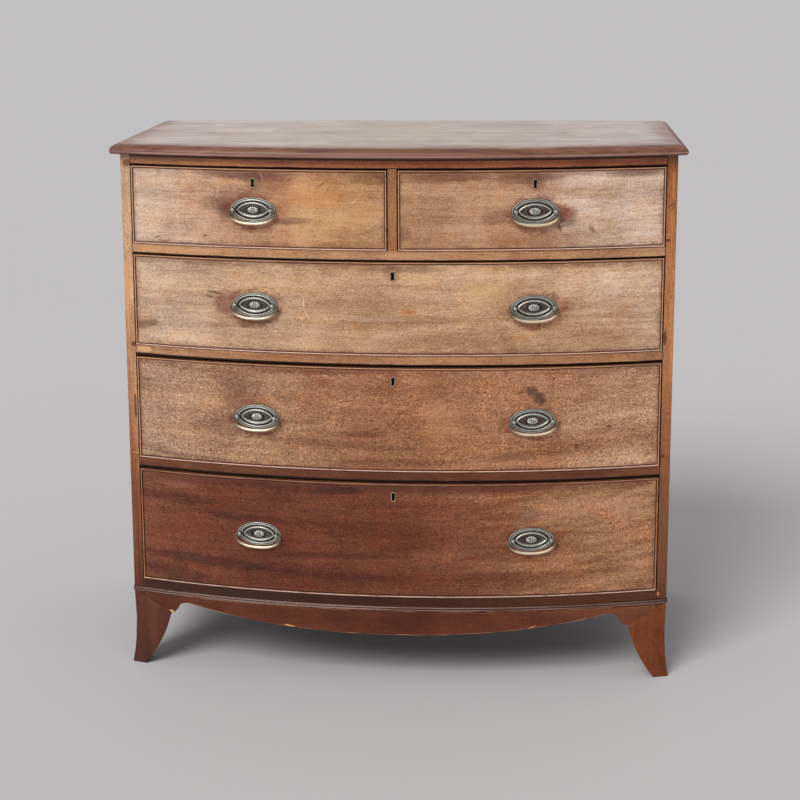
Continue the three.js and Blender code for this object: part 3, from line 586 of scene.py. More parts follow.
def makeCarcase():
    wear = carcaseWear
    for name, look in carcaseBoards.items():
        foot = "foot" in name
        wood = mahogany(name + "_wood", **look)
        low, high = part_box(name)
        blot = wood.noise((0.05, 0.05, 0.012), 4, 0.65, 0.3, seed=(look["seed"], 0, 0))
        ragged = (blot - 0.5) * 1.4
        wood.stain(wood.ease(blot, 0.55, 0.75), *wear["cloud"])
        for *place, tone in wear["chips"].get(name, []):
            wood.stain(wood.mark(place, 0.5, ragged), tone, 0.85)
        worn = wood.attribute("eased")
        if name == "shaped_apron":  # the mitres at its ends stay dark
            worn = worn * wood.fall(abs(wood.x), *wear["apronEnd"])
        rubbed = wear["rubbed"].get(name, wear["plainRub"])
        wood.stain(worn * wood.ease(blot, 0.36, 0.6), wear["rubTone"], rubbed)
        stray = (blot - 0.5) * wear["stray"]
        if name == "top_rail":  # painted shade in the corner under the top board's overhang
            wood.stain(wood.fall(high.z - wood.z + stray, *wear["underTop"]), wear["shadeTone"], 0.9)
        # painted shade: a dark line along the lower edge of each rail and divider, over the gap below it
        if name in wear["quirkShade"]:
            atLeft, atRight = wear["quirkShade"][name]
            deep = atLeft + (wood.x + 0.5) * (atRight - atLeft) + stray
            wood.stain(wood.fall((wood.z - low.z) - deep, *wear["overGap"]), wear["shadeTone"], 0.92)
        if name in ("left_side", "right_side", "short_drawer_partition"):  # painted shade in the gaps beside the openings
            inSide = abs(wood.x) - wear["halfOpening"]
            fromGap = inSide if "side" in name else wear["halfPartition"] - abs(wood.x)
            inFace = wood.fall(wood.intoBow(), *wear["inFace"])
            wood.stain(wood.fall(fromGap + stray, *wear["besideGap"]) * inFace, wear["shadeTone"], 0.85)
        ease = wear["ease"].get(name, wear["footEase" if foot else "plainEase"])
        reworked(name, name + "_worked", wood.done(), ease, arcs=not foot)
    for name, cut in paleBoards.items():
        reworked(name, name + "_worked", plainWood(name + "_wood", "pine", *cut))


# Top board: its moulding worked up and down from the widest outline
topBoardSizes = {
    "halfWidth": 0.532, "front": 0.020, "back": 0.2835, "widest": 1.008, "nose": 0.005, "ovolo": 0.0155,
    "ovoloRise": 0.013, "fillet": 0.001, "arcSteps": 60, "noseSteps": 6, "ovoloSteps": 9,
}


def makeTopBoard():
    size = topBoardSizes
    form = bmesh.new()
    reach = bow["radius"] + size["front"]
    half = math.asin(size["halfWidth"] / reach)
    start = form.verts.new((0, bow["centreY"] - reach, size["widest"]))
    middle = (0, bow["centreY"], 0)
    bmesh.ops.rotate(form, verts=[start], cent=middle, matrix=Matrix.Rotation(-half, 3, "Z"))
    bmesh.ops.spin(form, geom=[start], cent=middle, axis=(0, 0, 1), angle=2 * half, steps=size["arcSteps"])
    form.verts.ensure_lookup_table()
    ends = sorted(form.verts, key=lambda vert: vert.co.x)
    spare = size["back"] + 0.04
    corners = [form.verts.new((end.co.x, spare, size["widest"])) for end in (ends[0], ends[-1])]
    form.edges.new((ends[0], corners[0]))
    form.edges.new((ends[-1], corners[1]))
    form.edges.new(corners)
    plan = bmesh.ops.contextual_create(form, geom=form.edges)["faces"][0]
    plan.normal_update()
    if plan.normal.z < 0:
        plan.normal_flip()
    lifted = bmesh.ops.extrude_face_region(form, geom=[plan], use_keep_orig=True)["geom"]
    upper = only(bmesh.types.BMFace, lifted)[0]
    bmesh.ops.translate(form, vec=(0, 0, 0.0001), verts=upper.verts)
    faceOut(form)

    def stepped(face, steps):
        for inwards, rise in steps:
            bmesh.ops.inset_region(
                form, faces=[face], thickness=inwards, depth=rise, use_even_offset=True, use_boundary=True,
            )

    def quarter(wide, high, steps):  # a quarter round, as steps inwards and up
        turns = [math.pi / 2 * index / steps for index in range(steps + 1)]
        places = [(wide * (1 - math.cos(turn)), high * math.sin(turn)) for turn in turns]
        return [(b[0] - a[0], b[1] - a[1]) for a, b in zip(places, places[1:])]

    ovolo = quarter(size["ovolo"], size["ovoloRise"] - 0.0001, size["ovoloSteps"])
    stepped(upper, ovolo + [(0.00002, size["fillet"] - 0.0003), (0.0003, 0.0003)])
    stepped(plan, quarter(size["nose"], size["nose"], size["noseSteps"]))
    cut = bmesh.ops.bisect_plane(
        form, geom=form.verts[:] + form.edges[:] + form.faces[:], plane_co=(0, size["back"], 0),
        plane_no=(0, 1, 0), clear_outer=True, dist=0.000001,
    )["geom_cut"]
    bmesh.ops.edgenet_fill(form, edges=only(bmesh.types.BMEdge, cut))
    faceOut(form)
    piece(form, "moulded_top", topFinish(), "carcase", ["top_board"])


# The top's pale grey tones are partly the faded wood and partly painted sheen, the room reflected at a low
# angle
topLook = {
    "tones": [(202, 187, 178), (190, 176, 162), (192, 179, 170)],
    "way": "x", "seed": 21.4, "streaks": (0.60, 0.0075), "bands": (1.3, 0.035), "shade": (0.58, 0.50, 0.46),
    "light": (1.24, 1.28, 1.28), "gloss": 0.34, "bump": 0.05, "speckShare": 0.8, "cloudShare": 1.0,
    "streakShare": 1.9, "warmShare": 0.3, "poreShare": 0.3,
}
# Marks on the top: heights between which each grows, and between which it fades again, tone, strength; the
# nose crest is a painted highlight and the fillet line a painted shade in its step
topMarks = {
    "nose": ((1.0020, 1.0050, 1.0095, 1.0125), (150, 110, 106), 0.2),
    "noseHighlight": ((1.0058, 1.0068, 1.0084, 1.0094), (198, 164, 154), 0.4),
    # fillet: painted shade in the little step above the ovolo
    "fillet": ((1.0192, 1.0200, 1.0207, 1.0214), (72, 44, 38), 0.6),
}
topRim = {
    "reach": (0.012, 0.066), "tone": (130, 88, 72), "share": 0.75, "moulded": (1.0195, 1.0212),
    "darkMoulding": (76, 42, 32), "paleMoulding": (132, 84, 62), "mouldedShare": 0.92,
    # the under zone is painted shade along the lower edge of the nose
    "under": (1.0028, 1.0050), "noseShadeTone": (54, 30, 22), "noseShadeShare": 0.85,
}


def topFinish():
    size = topBoardSizes
    rim = topRim
    wood = mahogany("faded_and_sheened_top", **topLook)
    inside = (wood.intoBow() + size["front"]).orLess(size["halfWidth"] - abs(wood.x))
    rough = wood.noise((0.09, 0.09, 0.09), 4, 0.6)
    ragged = inside - (rough - 0.5) * 0.10 - (wood.streaks - 0.5) * 0.08
    wood.stain(wood.fall(ragged, *rim["reach"]), rim["tone"], rim["share"])
    streaked = wood.ease(wood.streaks, 0.2, 0.8)
    moulding = wood.mix(streaked, tint(*rim["darkMoulding"]), tint(*rim["paleMoulding"]))
    wood.stain(wood.fall(wood.z, *rim["moulded"]), moulding, rim["mouldedShare"])
    broken = {
        "nose": wood.ease(rough, 0.3, 0.6), "noseHighlight": wood.ease(wood.bands, 0.3, 0.55),
        "fillet": wood.ease(rough, 0.35, 0.55),
    }
    for name, (zone, tone, share) in topMarks.items():
        wood.stain(wood.between(wood.z, *zone) * broken[name], tone, share)
    # painted shade along the lower edge of the nose, where it overhangs
    wood.stain(wood.fall(wood.z, *rim["under"]), rim["noseShadeTone"], rim["noseShadeShare"])
    return wood.done()


# Base bead: two reeds run round the front and the sides
baseBead = {
    "low": 0.1465, "reed": 0.0045, "proud": 0.0018, "lip": 0.0003, "let": 0.004, "back": 0.2785, "steps": 8,
    "arcSteps": 72, "crowns": (0.0015, 0.0021), "quirkShade": (0.0001, 0.0012),
}


def makeBaseBead():
    size = baseBead
    levels = [(-size["let"], size["low"])]
    for reed in range(2):
        for index in range(size["steps"] + 1):
            turn = math.pi * index / size["steps"]
            rise = size["reed"] * (1 - math.cos(turn)) / 2
            out = size["lip"] + (size["proud"] - size["lip"]) * math.sin(turn)
            levels.append((out, size["low"] + reed * size["reed"] + rise))
    levels.append((-size["let"], size["low"] + 2 * size["reed"]))
    form = bmesh.new()
    share = form.verts.layers.float.new("share")
    count = size["arcSteps"] + 2
    line = [form.verts.new((0, 0, 0)) for index in range(count + 1)]
    for index, vert in enumerate(line):
        vert[share] = index
    first = edges = [form.edges.new(pair) for pair in zip(line, line[1:])]

    def settle(verts, out, z):
        corner = bow["halfCase"] + out
        for vert in verts:
            index = round(vert[share])
            x = -corner + 2 * corner * min(max(index - 1, 0), size["arcSteps"]) / size["arcSteps"]
            y = size["back"] if index in (0, count) else bowFace(x, out)
            vert.co = (x, y, z)

    settle(line, *levels[0])
    for level in levels[1:]:
        grown = bmesh.ops.extrude_edge_only(form, edges=edges)["geom"]
        settle(only(bmesh.types.BMVert, grown), *level)
        edges = [
            edge for edge in only(bmesh.types.BMEdge, grown)
            if edge.is_boundary and all(abs(vert.co.z - level[1]) < 1e-7 for vert in edge.verts)
            and abs(edge.verts[0][share] - edge.verts[1][share]) > 0.5
        ]
    bmesh.ops.bridge_loops(form, edges=first + edges)
    bmesh.ops.holes_fill(form, edges=[edge for edge in form.edges if edge.is_boundary], sides=0)
    bmesh.ops.remove_doubles(form, verts=form.verts, dist=0.000001)
    faceOut(form)
    wood = mahogany("bead_wood", [(86, 52, 42), (112, 70, 56), (80, 54, 46)], seed=31.0, gloss=0.2)
    reeds = wood.z.worked("PINGPONG", wood.z - size["low"], size["reed"] / 2)
    # painted highlight along the crown of each reed
    crowns = wood.ease(reeds, *size["crowns"]) * wood.ease(wood.streaks, 0.3, 0.55)
    wood.stain(crowns, (200, 172, 164), 0.5)
    # painted shade in the quirks between the reeds
    wood.stain(wood.fall(reeds, *size["quirkShade"]), (34, 18, 14), 0.9)
    piece(form, "twin_reeds", wood.done(), "carcase", ["reeded_base_bead"], 60)


# Drawers: marks are x, z, reach along, reach up, turn and how strong, with places and reaches in
# millimetres, and scratches have a tone of their own as well
# The paler, greyer ends in the tones of the upper four fronts are partly the wood's fading and partly painted
# sheen from the lamps
drawerLooks = {
    "short_left": {
        "keyX": -0.257, "handleUp": 0.0709,
        "wood": {
            "tones": [(202, 174, 152), (204, 168, 140), (184, 138, 104), (190, 144, 100), (184, 140, 102)],
            "seed": 41.0,
        },
        "smudges": [
            (-270, 972, 110, 10, 0, 0.7), (-225, 950, 50, 20, 0, 0.35), (-330, 913, 40, 18, 0, 0.5),
            (-190, 888, 55, 8, 2, 0.6), (-30, 966, 60, 14, 0, 0.5), (-444, 849, 9, 2, 20, 0.9),
            (-350, 856, 4, 3, 0, 0.9), (-400, 870, 50, 20, 0, 0.2), (-310, 900, 18, 24, 0, 0.6),
        ],
        "scratches": [
            (-130, 954, 17, 1, 35, 0.8, (84, 42, 26)), (-118, 945, 14, 0.9, 62, 0.7, (90, 46, 30)),
            (-240, 969, 11, 1.2, -68, 0.7, (224, 192, 168)), (-71, 924, 6, 1.6, 20, 0.8, (232, 200, 168)),
            (-95, 858, 20, 0.9, -12, 0.6, (88, 48, 32)), (-46, 868, 30, 0.9, 12, 0.6, (90, 50, 34)),
            (-292, 926, 52, 30, 0, 0.5, (112, 52, 36)), (-200, 910, 14, 20, 0, 0.35, (156, 80, 44)),
            (-255, 966, 85, 10, -1, 0.6, (98, 58, 54)), (-210, 955, 40, 16, 0, 0.35, (140, 66, 42)),
            (-140, 928, 75, 20, 0, 0.35, (204, 136, 70)), (-50, 905, 50, 24, 0, 0.25, (200, 140, 84)),
        ],
    },
    "short_right": {
        "keyX": 0.257, "handleUp": 0.0709,
        "wood": {
            "tones": [(172, 126, 92), (184, 140, 106), (186, 142, 110), (210, 182, 162), (206, 176, 154)],
            "seed": 43.2,
        },
        "smudges": [
            (100, 968, 90, 10, 0, 0.6), (318, 895, 22, 20, 0, 0.65), (255, 968, 70, 12, 0, 0.6),
            (440, 972, 60, 10, 0, 0.6), (180, 895, 30, 16, 0, 0.4), (20, 866, 18, 18, 0, 0.5),
            (302, 875, 4, 10, 18, 0.8), (360, 872, 6, 10, 35, 0.6),
        ],
        "scratches": [
            (150, 930, 14, 0.9, 30, 0.6, (90, 48, 32)), (400, 860, 22, 0.9, -6, 0.6, (104, 62, 42)),
            (315, 903, 20, 16, 0, 0.5, (140, 62, 44)), (330, 958, 30, 12, 8, 0.4, (222, 194, 178)),
            (235, 964, 80, 10, 0, 0.45, (104, 60, 50)),
        ],
    },
    "upper_long": {
        "keyX": 0.0, "handleUp": 0.0889,
        "wood": {
            "tones": [
                (192, 162, 138), (194, 160, 130), (186, 146, 110), (194, 156, 120), (190, 150, 116),
                (202, 168, 140),
            ],
            "seed": 45.7, "slantShare": 0.5, "crackle": 0.3,
        },
        "smudges": [
            (-335, 750, 20, 3, -8, 0.9), (-345, 742, 12, 2, -12, 0.8), (-320, 728, 20, 22, 0, 0.5),
            (-470, 682, 30, 12, 10, 0.7), (-260, 696, 50, 14, 0, 0.4), (-170, 812, 90, 6, 0, 0.5),
            (320, 730, 14, 14, 0, 0.3), (268, 697, 2, 12, 0, 0.9), (20, 800, 100, 8, 0, 0.4),
            (60, 670, 3, 2, 0, 0.9), (360, 752, 4, 2, 0, 0.8),
        ],
        "scratches": [
            (-165, 738, 12, 1.2, 84, 0.75, (236, 206, 178)),
            (-159, 714, 12, 1.2, -66, 0.75, (236, 206, 178)), (28, 722, 18, 3.8, 0, 0.75, (172, 88, 34)),
            (-400, 727, 90, 0.8, -4, 0.55, (112, 70, 50)), (100, 790, 40, 0.9, 2, 0.5, (104, 60, 42)),
            (-30, 708, 60, 6, 0, 0.4, (164, 142, 124)), (-312, 733, 24, 28, 0, 0.5, (118, 58, 34)),
            (312, 733, 10, 14, 0, 0.35, (140, 70, 42)), (-270, 700, 60, 14, 3, 0.3, (130, 74, 46)),
            (170, 757, 60, 20, 0, 0.3, (206, 158, 98)), (-50, 812, 60, 5, 0, 0.4, (160, 76, 46)),
            (-20, 676, 30, 6, 0, 0.3, (214, 186, 146)),
        ],
    },
    "middle_long": {
        "keyX": 0.0, "handleUp": 0.0969,
        "wood": {
            "tones": [
                (170, 136, 112), (172, 132, 102), (158, 110, 78), (166, 116, 80), (170, 122, 90),
                (184, 142, 112),
            ],
            "seed": 47.9, "slantShare": 0.8, "slantFrom": (0.1, 0.35), "speckShare": 2.6, "crackle": 0.95,
        },
        "smudges": [
            (-280, 572, 80, 20, -12, 0.4), (-200, 560, 30, 20, 0, 0.4), (338, 534, 6, 3, 0, 0.8),
            (398, 501, 8, 3, 0, 0.9), (338, 465, 5, 6, 30, 1.0), (346, 469, 10, 2, 5, 0.9),
            (0, 436, 160, 12, 0, 0.5), (-60, 490, 70, 8, 2, 0.55), (-190, 510, 60, 8, 0, 0.5),
            (-380, 430, 100, 6, -3, 0.5), (208, 557, 3, 3, 0, 0.9), (-170, 606, 140, 6, 0, 0.5),
            (-300, 500, 100, 30, 0, 0.35), (-100, 470, 200, 12, -2, 0.4), (-360, 600, 140, 10, -4, 0.35),
            (100, 600, 100, 12, 0, 0.35), (240, 450, 160, 10, 4, 0.35), (-460, 440, 50, 12, -8, 0.4),
        ],
        "scratches": [
            (257, 566, 40, 22, -30, 0.4, (150, 88, 66)), (257, 570, 21, 12, -28, 0.85, (84, 58, 44)),
            (270, 556, 16, 14, -50, 0.85, (80, 54, 42)), (234, 570, 20, 2.2, 4, 0.7, (100, 62, 46)),
            (290, 570, 18, 1.8, 0, 0.6, (104, 66, 50)), (68, 512, 20, 0.8, 58, 0.5, (206, 160, 118)),
            (88, 546, 18, 0.8, 72, 0.5, (206, 160, 118)), (58, 530, 20, 0.7, 16, 0.5, (204, 158, 118)),
            (-290, 548, 56, 34, -16, 0.5, (100, 50, 36)), (90, 520, 50, 50, 0, 0.25, (194, 140, 98)),
        ],
    },
    "lower_long": {
        "keyX": 0.0, "handleUp": 0.1129, "rubbed": 0.4, "darkTone": (30, 16, 14),
        "wood": {
            "tones": [
                (120, 70, 50), (104, 54, 36), (100, 52, 33), (108, 58, 36), (126, 76, 50), (160, 114, 80),
                (162, 116, 84),
            ],
            "seed": 49.1, "slantShare": 1.5, "slantFrom": (-0.02, 0.25), "speckShare": 2.6, "crackle": 0.8,
            "streakShare": 1.3, "warmth": (1.14, 0.88, 0.72),
        },
        "smudges": [
            (-119, 378, 100, 10, 2, 0.65), (-420, 345, 100, 14, -2, 0.5), (100, 386, 200, 10, 0, 0.5),
            (170, 260, 70, 26, 0, 0.3), (-360, 226, 170, 14, -3, 0.65), (-100, 252, 160, 10, 1, 0.55),
            (-450, 196, 120, 18, -6, 0.6), (-300, 318, 120, 11, -4, 0.45), (-200, 386, 300, 12, 0, 0.45),
            (-100, 212, 200, 10, -2, 0.35), (80, 232, 120, 10, 3, 0.35),
        ],
        "scratches": [
            (130, 352, 50, 3, 4, 0.35, (150, 76, 50)), (-420, 372, 50, 10, -4, 0.3, (150, 96, 74)),
            (250, 335, 30, 12, 0, 0.35, (120, 96, 92)), (200, 250, 120, 14, 6, 0.15, (150, 74, 52)),
        ],
    },
}
# The common wear and painted light: "zones" are depths from the rim of a front, or into it, between which a
# mark grows or fades, and "marks" are a tone and how strong; the groove and rim marks are painted shade, the
# low crest a painted highlight
drawerWear = {
    "halo": (0.064, 0.040), "haloTone": (112, 56, 36), "keyHalo": (0.020, 0.022), "keyDrop": 0.0215,
    "darkTone": (64, 30, 22), "beadTones": ((84, 46, 32), (164, 102, 66)), "beadShare": 0.75,
    "groundTones": ((108, 66, 42), (150, 98, 62)), "crestWearAndHighlight": (222, 166, 122), "rubbed": 0.8,
    "zones": {
        "edge": (0.002, 0.013), "bead": (0.0026, 0.0030), "groove": (0.0026, 0.0030, 0.0040, 0.0052),
        "crest": (0.0007, 0.0012, 0.0018, 0.0024), "rim": (0.0002, 0.0007), "ground": (0.0016, 0.0022),
    },
    "marks": {
        "edge": ((104, 60, 44), 0.45), "groove": ((46, 22, 16), 0.85), "lowCrestHighlight": ((238, 206, 190), 0.8),
        "rim": ((46, 22, 16), 0.9),
    },
}


def handlesOf(look):  # the handle of a short drawer hangs under its keyhole
    return [look["keyX"]] if look["keyX"] else [-handleSizes["fromMiddle"], handleSizes["fromMiddle"]]


def drawerFinish(name, look, low, high):
    wear = {**drawerWear, **look}
    zones, marks = wear["zones"], wear["marks"]
    wood = mahogany(name + "_veneer", reach=(low.x, high.x), **look["wood"])
    seed = look["wood"]["seed"]
    blot = wood.noise((0.030, 0.030, 0.018), 4, 0.65, 0.4, seed=(seed, 0, 0))
    crumbs = wood.noise((0.009, 0.009, 0.006), 4, 0.75, 0.3, seed=(0, seed, 0))
    ragged = (blot - 0.5) * 2.4
    halo = wood.spot(wear["keyX"], high.z - wear["keyDrop"], *wear["keyHalo"], soft=0.8, wobble=ragged) * 0.6
    for x in handlesOf(look):
        up = low.z + wear["handleUp"] - 0.005
        halo = halo.orMore(wood.spot(x, up, *wear["halo"], soft=0.7, wobble=ragged))
    wood.stain(halo * (0.35 + wood.ease(crumbs, 0.34, 0.60) * 0.45), wear["haloTone"])
    for *place, share in wear["smudges"]:
        dark = wood.mix(0.75, wood.colour, tint(*wear["darkTone"]))
        wood.stain(wood.mark(place, 0.9, (blot - 0.5) * 1.6), dark, share)
    for *place, share, tone in wear["scratches"]:
        wood.stain(wood.mark(place, 0.9, (crumbs - 0.5) * 2.6), tone, share)
    fromFoot = wood.z - low.z
    fromTop = high.z - wood.z
    fromSide = (wood.x - low.x).orLess(high.x - wood.x)
    fromEdge = fromSide.orLess(fromFoot.orLess(fromTop * 0.7))
    wood.stain(wood.fall(fromEdge - (blot - 0.5) * 0.035, *zones["edge"]), *marks["edge"])
    rim = fromSide.orLess(fromFoot.orLess(fromTop))
    # painted shade in the groove inside the bead
    wood.stain(wood.between(rim, *zones["groove"]), *marks["groove"])
    bead = wood.mix(wood.ease(blot, 0.3, 0.7), *(tint(*tone) for tone in wear["beadTones"]))
    wood.stain(wood.fall(rim, *zones["bead"]), bead, wear["beadShare"])
    # the bead's crest all round: partly rubbed wear, partly painted highlight
    crest = wood.between(rim, *zones["crest"]) * wood.ease(wood.streaks, 0.25, 0.5)
    wood.stain(crest, wear["crestWearAndHighlight"], wear["rubbed"])
    # a painted highlight along the crest of the bottom bead only
    lowCrestHighlight = wood.between(fromFoot, *zones["crest"]) * wood.ease(blot, 0.25, 0.5)
    wood.stain(lowCrestHighlight, *marks["lowCrestHighlight"])
    # painted shade along the outer rim of the front, over the gap round the drawer
    wood.stain(wood.fall(rim, *zones["rim"]), *marks["rim"])
    ground = wood.ease(wood.intoBow(), *zones["ground"])
    wood.stain(ground, wood.mix(wood.streaks, *(tint(*tone) for tone in wear["groundTones"])))
    wood.roughness = wood.roughness + ground * 0.2
    return wood.done()


def makeDrawer(name, look):
    front = name + "_drawer_front"
    low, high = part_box(front)

    def onBead(edge):
        reach = bow["radius"] + 0.0014
        return all(math.hypot(vert.co.x, vert.co.y - bow["centreY"]) > reach for vert in edge.verts)

    def onRim(edge):
        return min(vert.co.z for vert in edge.verts) > high.z - 0.03

    veneer = drawerFinish(name, look, low, high)
    reworked(front, name + "_veneered_front", veneer, 0.0012, 3, onBead)
    reworked(name + "_drawer_box", name + "_dovetailed_box", drawerOak, 0.0008, 2, onRim)
    reworked(name + "_drawer_bottom", name + "_panel", drawerPine)
    makeLock(name, look, high)


lockSizes = {
    "screw": 0.0028, "screwAcross": 0.026, "screwInto": 0.0153, "thread": 0.0009, "head": 0.0043,
    "slot": 0.0034, "drop": 0.0114, "foot": 0.0018, "headSteps": 24, "footSteps": 8,
}


def roundCurve(name, radius, roundness):
    curve = bpy.data.curves.new(name, "CURVE")
    curve.dimensions = "3D"
    curve.bevel_depth = radius
    curve.bevel_resolution = roundness
    return curve


def makeLock(name, look, high):
    size = lockSizes
    case = name + "_lock_case"
    body = bodyOf(case)
    place = onBow(look["keyX"], high.z)
    form = mergedCopy(case)
    soften(form, 0.0004)
    for across in (-size["screwAcross"], size["screwAcross"]):
        inFace = moved(across, size["screwInto"], 0.0002)
        coneIn(form, 16, size["screw"], size["screw"] * 0.7, 0.0008, place @ inFace)
    piece(form, name + "_lock_worked", lockBrass, body, [case])
    reworked(name + "_lock_bolt", name + "_bolt_worked", lockBrass, 0.0004, arcs=False)
    join = math.asin(size["slot"] / size["head"])
    outline = []
    for index in range(size["headSteps"] + 1):
        turn = -math.pi / 2 + join + (2 * math.pi - 2 * join) * index / size["headSteps"]
        outline.append((size["head"] * math.cos(turn), size["head"] * math.sin(turn)))
    for index in range(size["footSteps"] + 1):
        turn = math.pi + math.pi * index / size["footSteps"]
        outline.append((size["slot"] * math.cos(turn), size["foot"] * math.sin(turn) - size["drop"]))
    thread = roundCurve("thread", size["thread"], 3)
    line = thread.splines.new("POLY")
    line.points.add(len(outline) - 1)
    for point, (x, z) in zip(line.points, outline):
        point.co = (x, -0.0001, z, 1)
    line.use_cyclic_u = True
    drawn = bpy.data.objects.new("thread", thread)
    form = bmesh.new()
    form.from_mesh(drawn.to_mesh())
    bpy.data.objects.remove(drawn)
    atKey = place @ moved(0, 0, -drawerWear["keyDrop"])
    bmesh.ops.transform(form, matrix=atKey, verts=form.verts)
    faceOut(form)
    piece(form, name + "_escutcheon_thread", threadBrass, body)


# Handles: rings of the stamped plate as half length, half height, how pointed, how far out, how bright; the
# brightness is partly polish worn onto the relief and partly painted highlight
plateRings = [
    (43.5, 23.5, 0.54, -0.7, 0.0), (43.5, 23.5, 0.54, 0.2, 0.0), (43.1, 23.1, 0.54, 0.8, 0.0),
    (42.1, 22.3, 0.54, 1.3, 0.75), (41.0, 21.6, 0.54, 1.2, 0.6), (39.6, 20.7, 0.55, 0.8, 0.1),
    (37.8, 19.6, 0.56, 1.0, 0.5), (35.8, 18.5, 0.57, 1.4, 0.8), (34.8, 17.8, 0.58, 1.0, 0.4),
    (34.2, 17.2, 0.60, 0.3, 0.05), (32.0, 15.6, 0.64, 0.2, 0.0), (30.8, 14.8, 0.68, 0.5, 0.15),
    (30.2, 14.3, 0.70, 1.4, 0.5), (29.6, 13.7, 0.72, 2.2, 0.85), (28.8, 12.9, 0.73, 2.4, 0.75),
    (27.9, 11.8, 0.74, 2.0, 0.5), (27.2, 10.6, 0.75, 1.4, 0.35), (26.6, 9.6, 0.75, 0.9, 0.25),
    (26.0, 9.0, 0.75, 0.5, 0.0), (24.8, 8.7, 0.74, 0.6, 0.15), (18.0, 8.2, 0.60, 0.7, 0.15),
    (11.4, 7.2, 0.50, 0.7, 0.0), (10.9, 6.9, 0.50, 1.5, 0.25), (9.6, 6.1, 0.50, 2.5, 0.75),
    (7.6, 4.9, 0.50, 3.0, 0.95), (5.2, 3.4, 0.50, 3.2, 0.8), (3.2, 2.0, 0.50, 3.2, 0.3),
    (1.6, 1.0, 0.50, 3.25, 0.8), (0.6, 0.4, 0.50, 3.25, 0.8),
]
rosette = {"from": 22, "to": 25, "lobes": 12, "depth": 0.4, "dull": 0.9}
handleSizes = {
    "fromMiddle": 0.257, "posts": 0.036, "standOff": 0.009, "segments": 96, "postSegments": 28,
    "pinHole": 0.0020, "shank": 0.0025, "shankLong": 0.0255, "nut": (0.0052, 0.0048, 0.0030), "nutAt": 0.0238,
    "inside": 0.0005, "crown": 0.0128,
}
# The turned posts: radius and how far out, in millimetres, from inside the plate to the crown
postTurning = [
    (2.9, -0.5), (4.5, 0.6), (4.7, 1.2), (4.1, 1.9), (3.0, 2.6), (2.8, 4.4), (3.1, 5.2), (3.7, 5.9),
    (3.9, 7.0), (3.9, 10.4), (3.7, 11.2), (3.1, 12.0), (2.1, 12.5), (1.1, 12.75),
]


def handleMaster():
    form = bmesh.new()
    raised = form.verts.layers.float.new("raised")
    turning = form.verts.layers.float.new("turning")
    size = handleSizes
    ring = bmesh.ops.create_circle(form, cap_ends=False, radius=1, segments=size["segments"])["verts"]
    for vert in ring:
        vert[turning] = math.atan2(vert.co.y, vert.co.x)
    backEdges = edges = form.edges[:]

    def shape(verts, index):
        long, high, point, out, bright = plateRings[index]
        for vert in verts:
            turn = vert[turning]
            along = math.cos(turn)
            up = math.copysign(max(0.0, 1 - along * along) ** point, math.sin(turn))
            flute = 0
            if rosette["from"] <= index <= rosette["to"]:
                flute = 1 - abs(math.cos(turn * rosette["lobes"] / 2))
            vert.co = (long * along * 0.001, -(out - rosette["depth"] * 2 * flute) * 0.001, high * up * 0.001)
            vert[raised] = bright * (1 - rosette["dull"] * flute)

    shape(ring, 0)
    for index in range(1, len(plateRings)):
        grown = bmesh.ops.extrude_edge_only(form, edges=edges)["geom"]
        verts = only(bmesh.types.BMVert, grown)
        fresh = set(verts)
        edges = [edge for edge in only(bmesh.types.BMEdge, grown) if set(edge.verts) <= fresh]
        shape(verts, index)
    bmesh.ops.pointmerge(form, verts=verts, merge_co=(0, -plateRings[-1][3] * 0.001, 0))
    bmesh.ops.edgeloop_fill(form, edges=backEdges)
    faceOut(form)
    posts = bmesh.new()
    bright = posts.verts.layers.float.new("raised")
    posts.verts.layers.float.new("turning")
    chain = [posts.verts.new((radius * 0.001, -out * 0.001, 0)) for radius, out in postTurning]
    chain.append(posts.verts.new((0, -size["crown"], 0)))
    chain.insert(0, posts.verts.new((0, size["inside"], 0)))
    for vert in chain:  # the crowns are rubbed
        vert[bright] = 0.2 if vert.co.y > 0.001 - size["crown"] else 0.6
    line = [posts.edges.new(pair) for pair in zip(chain, chain[1:])]
    bmesh.ops.spin(
        posts, geom=chain + line, axis=(0, 1, 0), cent=(0, 0, 0), angle=2 * math.pi,
        steps=size["postSegments"], use_merge=True,
    )
    bmesh.ops.remove_doubles(posts, verts=posts.verts, dist=0.00001)
    faceOut(posts)
    apart = size["posts"]
    bmesh.ops.translate(posts, vec=(-apart, 0, 0), verts=posts.verts)
    copied = bmesh.ops.duplicate(posts, geom=posts.verts[:] + posts.edges[:] + posts.faces[:])["geom"]
    bmesh.ops.translate(posts, vec=(2 * apart, 0, 0), verts=only(bmesh.types.BMVert, copied))
    hole = bmesh.new()
    across = moved(0, -size["standOff"], 0) @ turned(90, "Y")
    coneIn(hole, 20, size["pinHole"], size["pinHole"], 0.1, across)
    form.from_mesh(meshOf(carved(posts, hole), "posts"))
    for x in (-apart, apart):
        inFront = moved(x, size["shankLong"] / 2 + size["inside"], 0) @ turned(90, "X")
        shank = coneIn(form, 16, size["shank"], size["shank"], size["shankLong"], inFront)
        behind = moved(x, size["nutAt"], 0) @ turned(-90, "X")
        nut = coneIn(form, 6, *size["nut"], behind)
        for vert in shank + nut:
            vert[raised] = 0.35
    return meshOf(form, "handleMaster")


# Half of the bail: across, down and thickness, in millimetres
bailLine = [
    (32.4, 0.0, 1.6), (35.5, 0.0, 1.6), (38.6, 0.0, 1.65), (40.6, -0.15, 1.75), (42.2, -1.2, 1.9),
    (43.1, -3.1, 2.0), (43.4, -5.6, 2.1), (42.6, -9.2, 2.2), (40.3, -12.9, 2.3), (36.0, -16.5, 2.4),
    (30.2, -19.6, 2.5), (22.8, -22.1, 2.6), (14.0, -23.8, 2.7), (6.0, -24.4, 2.75), (0.0, -24.5, 2.75),
]


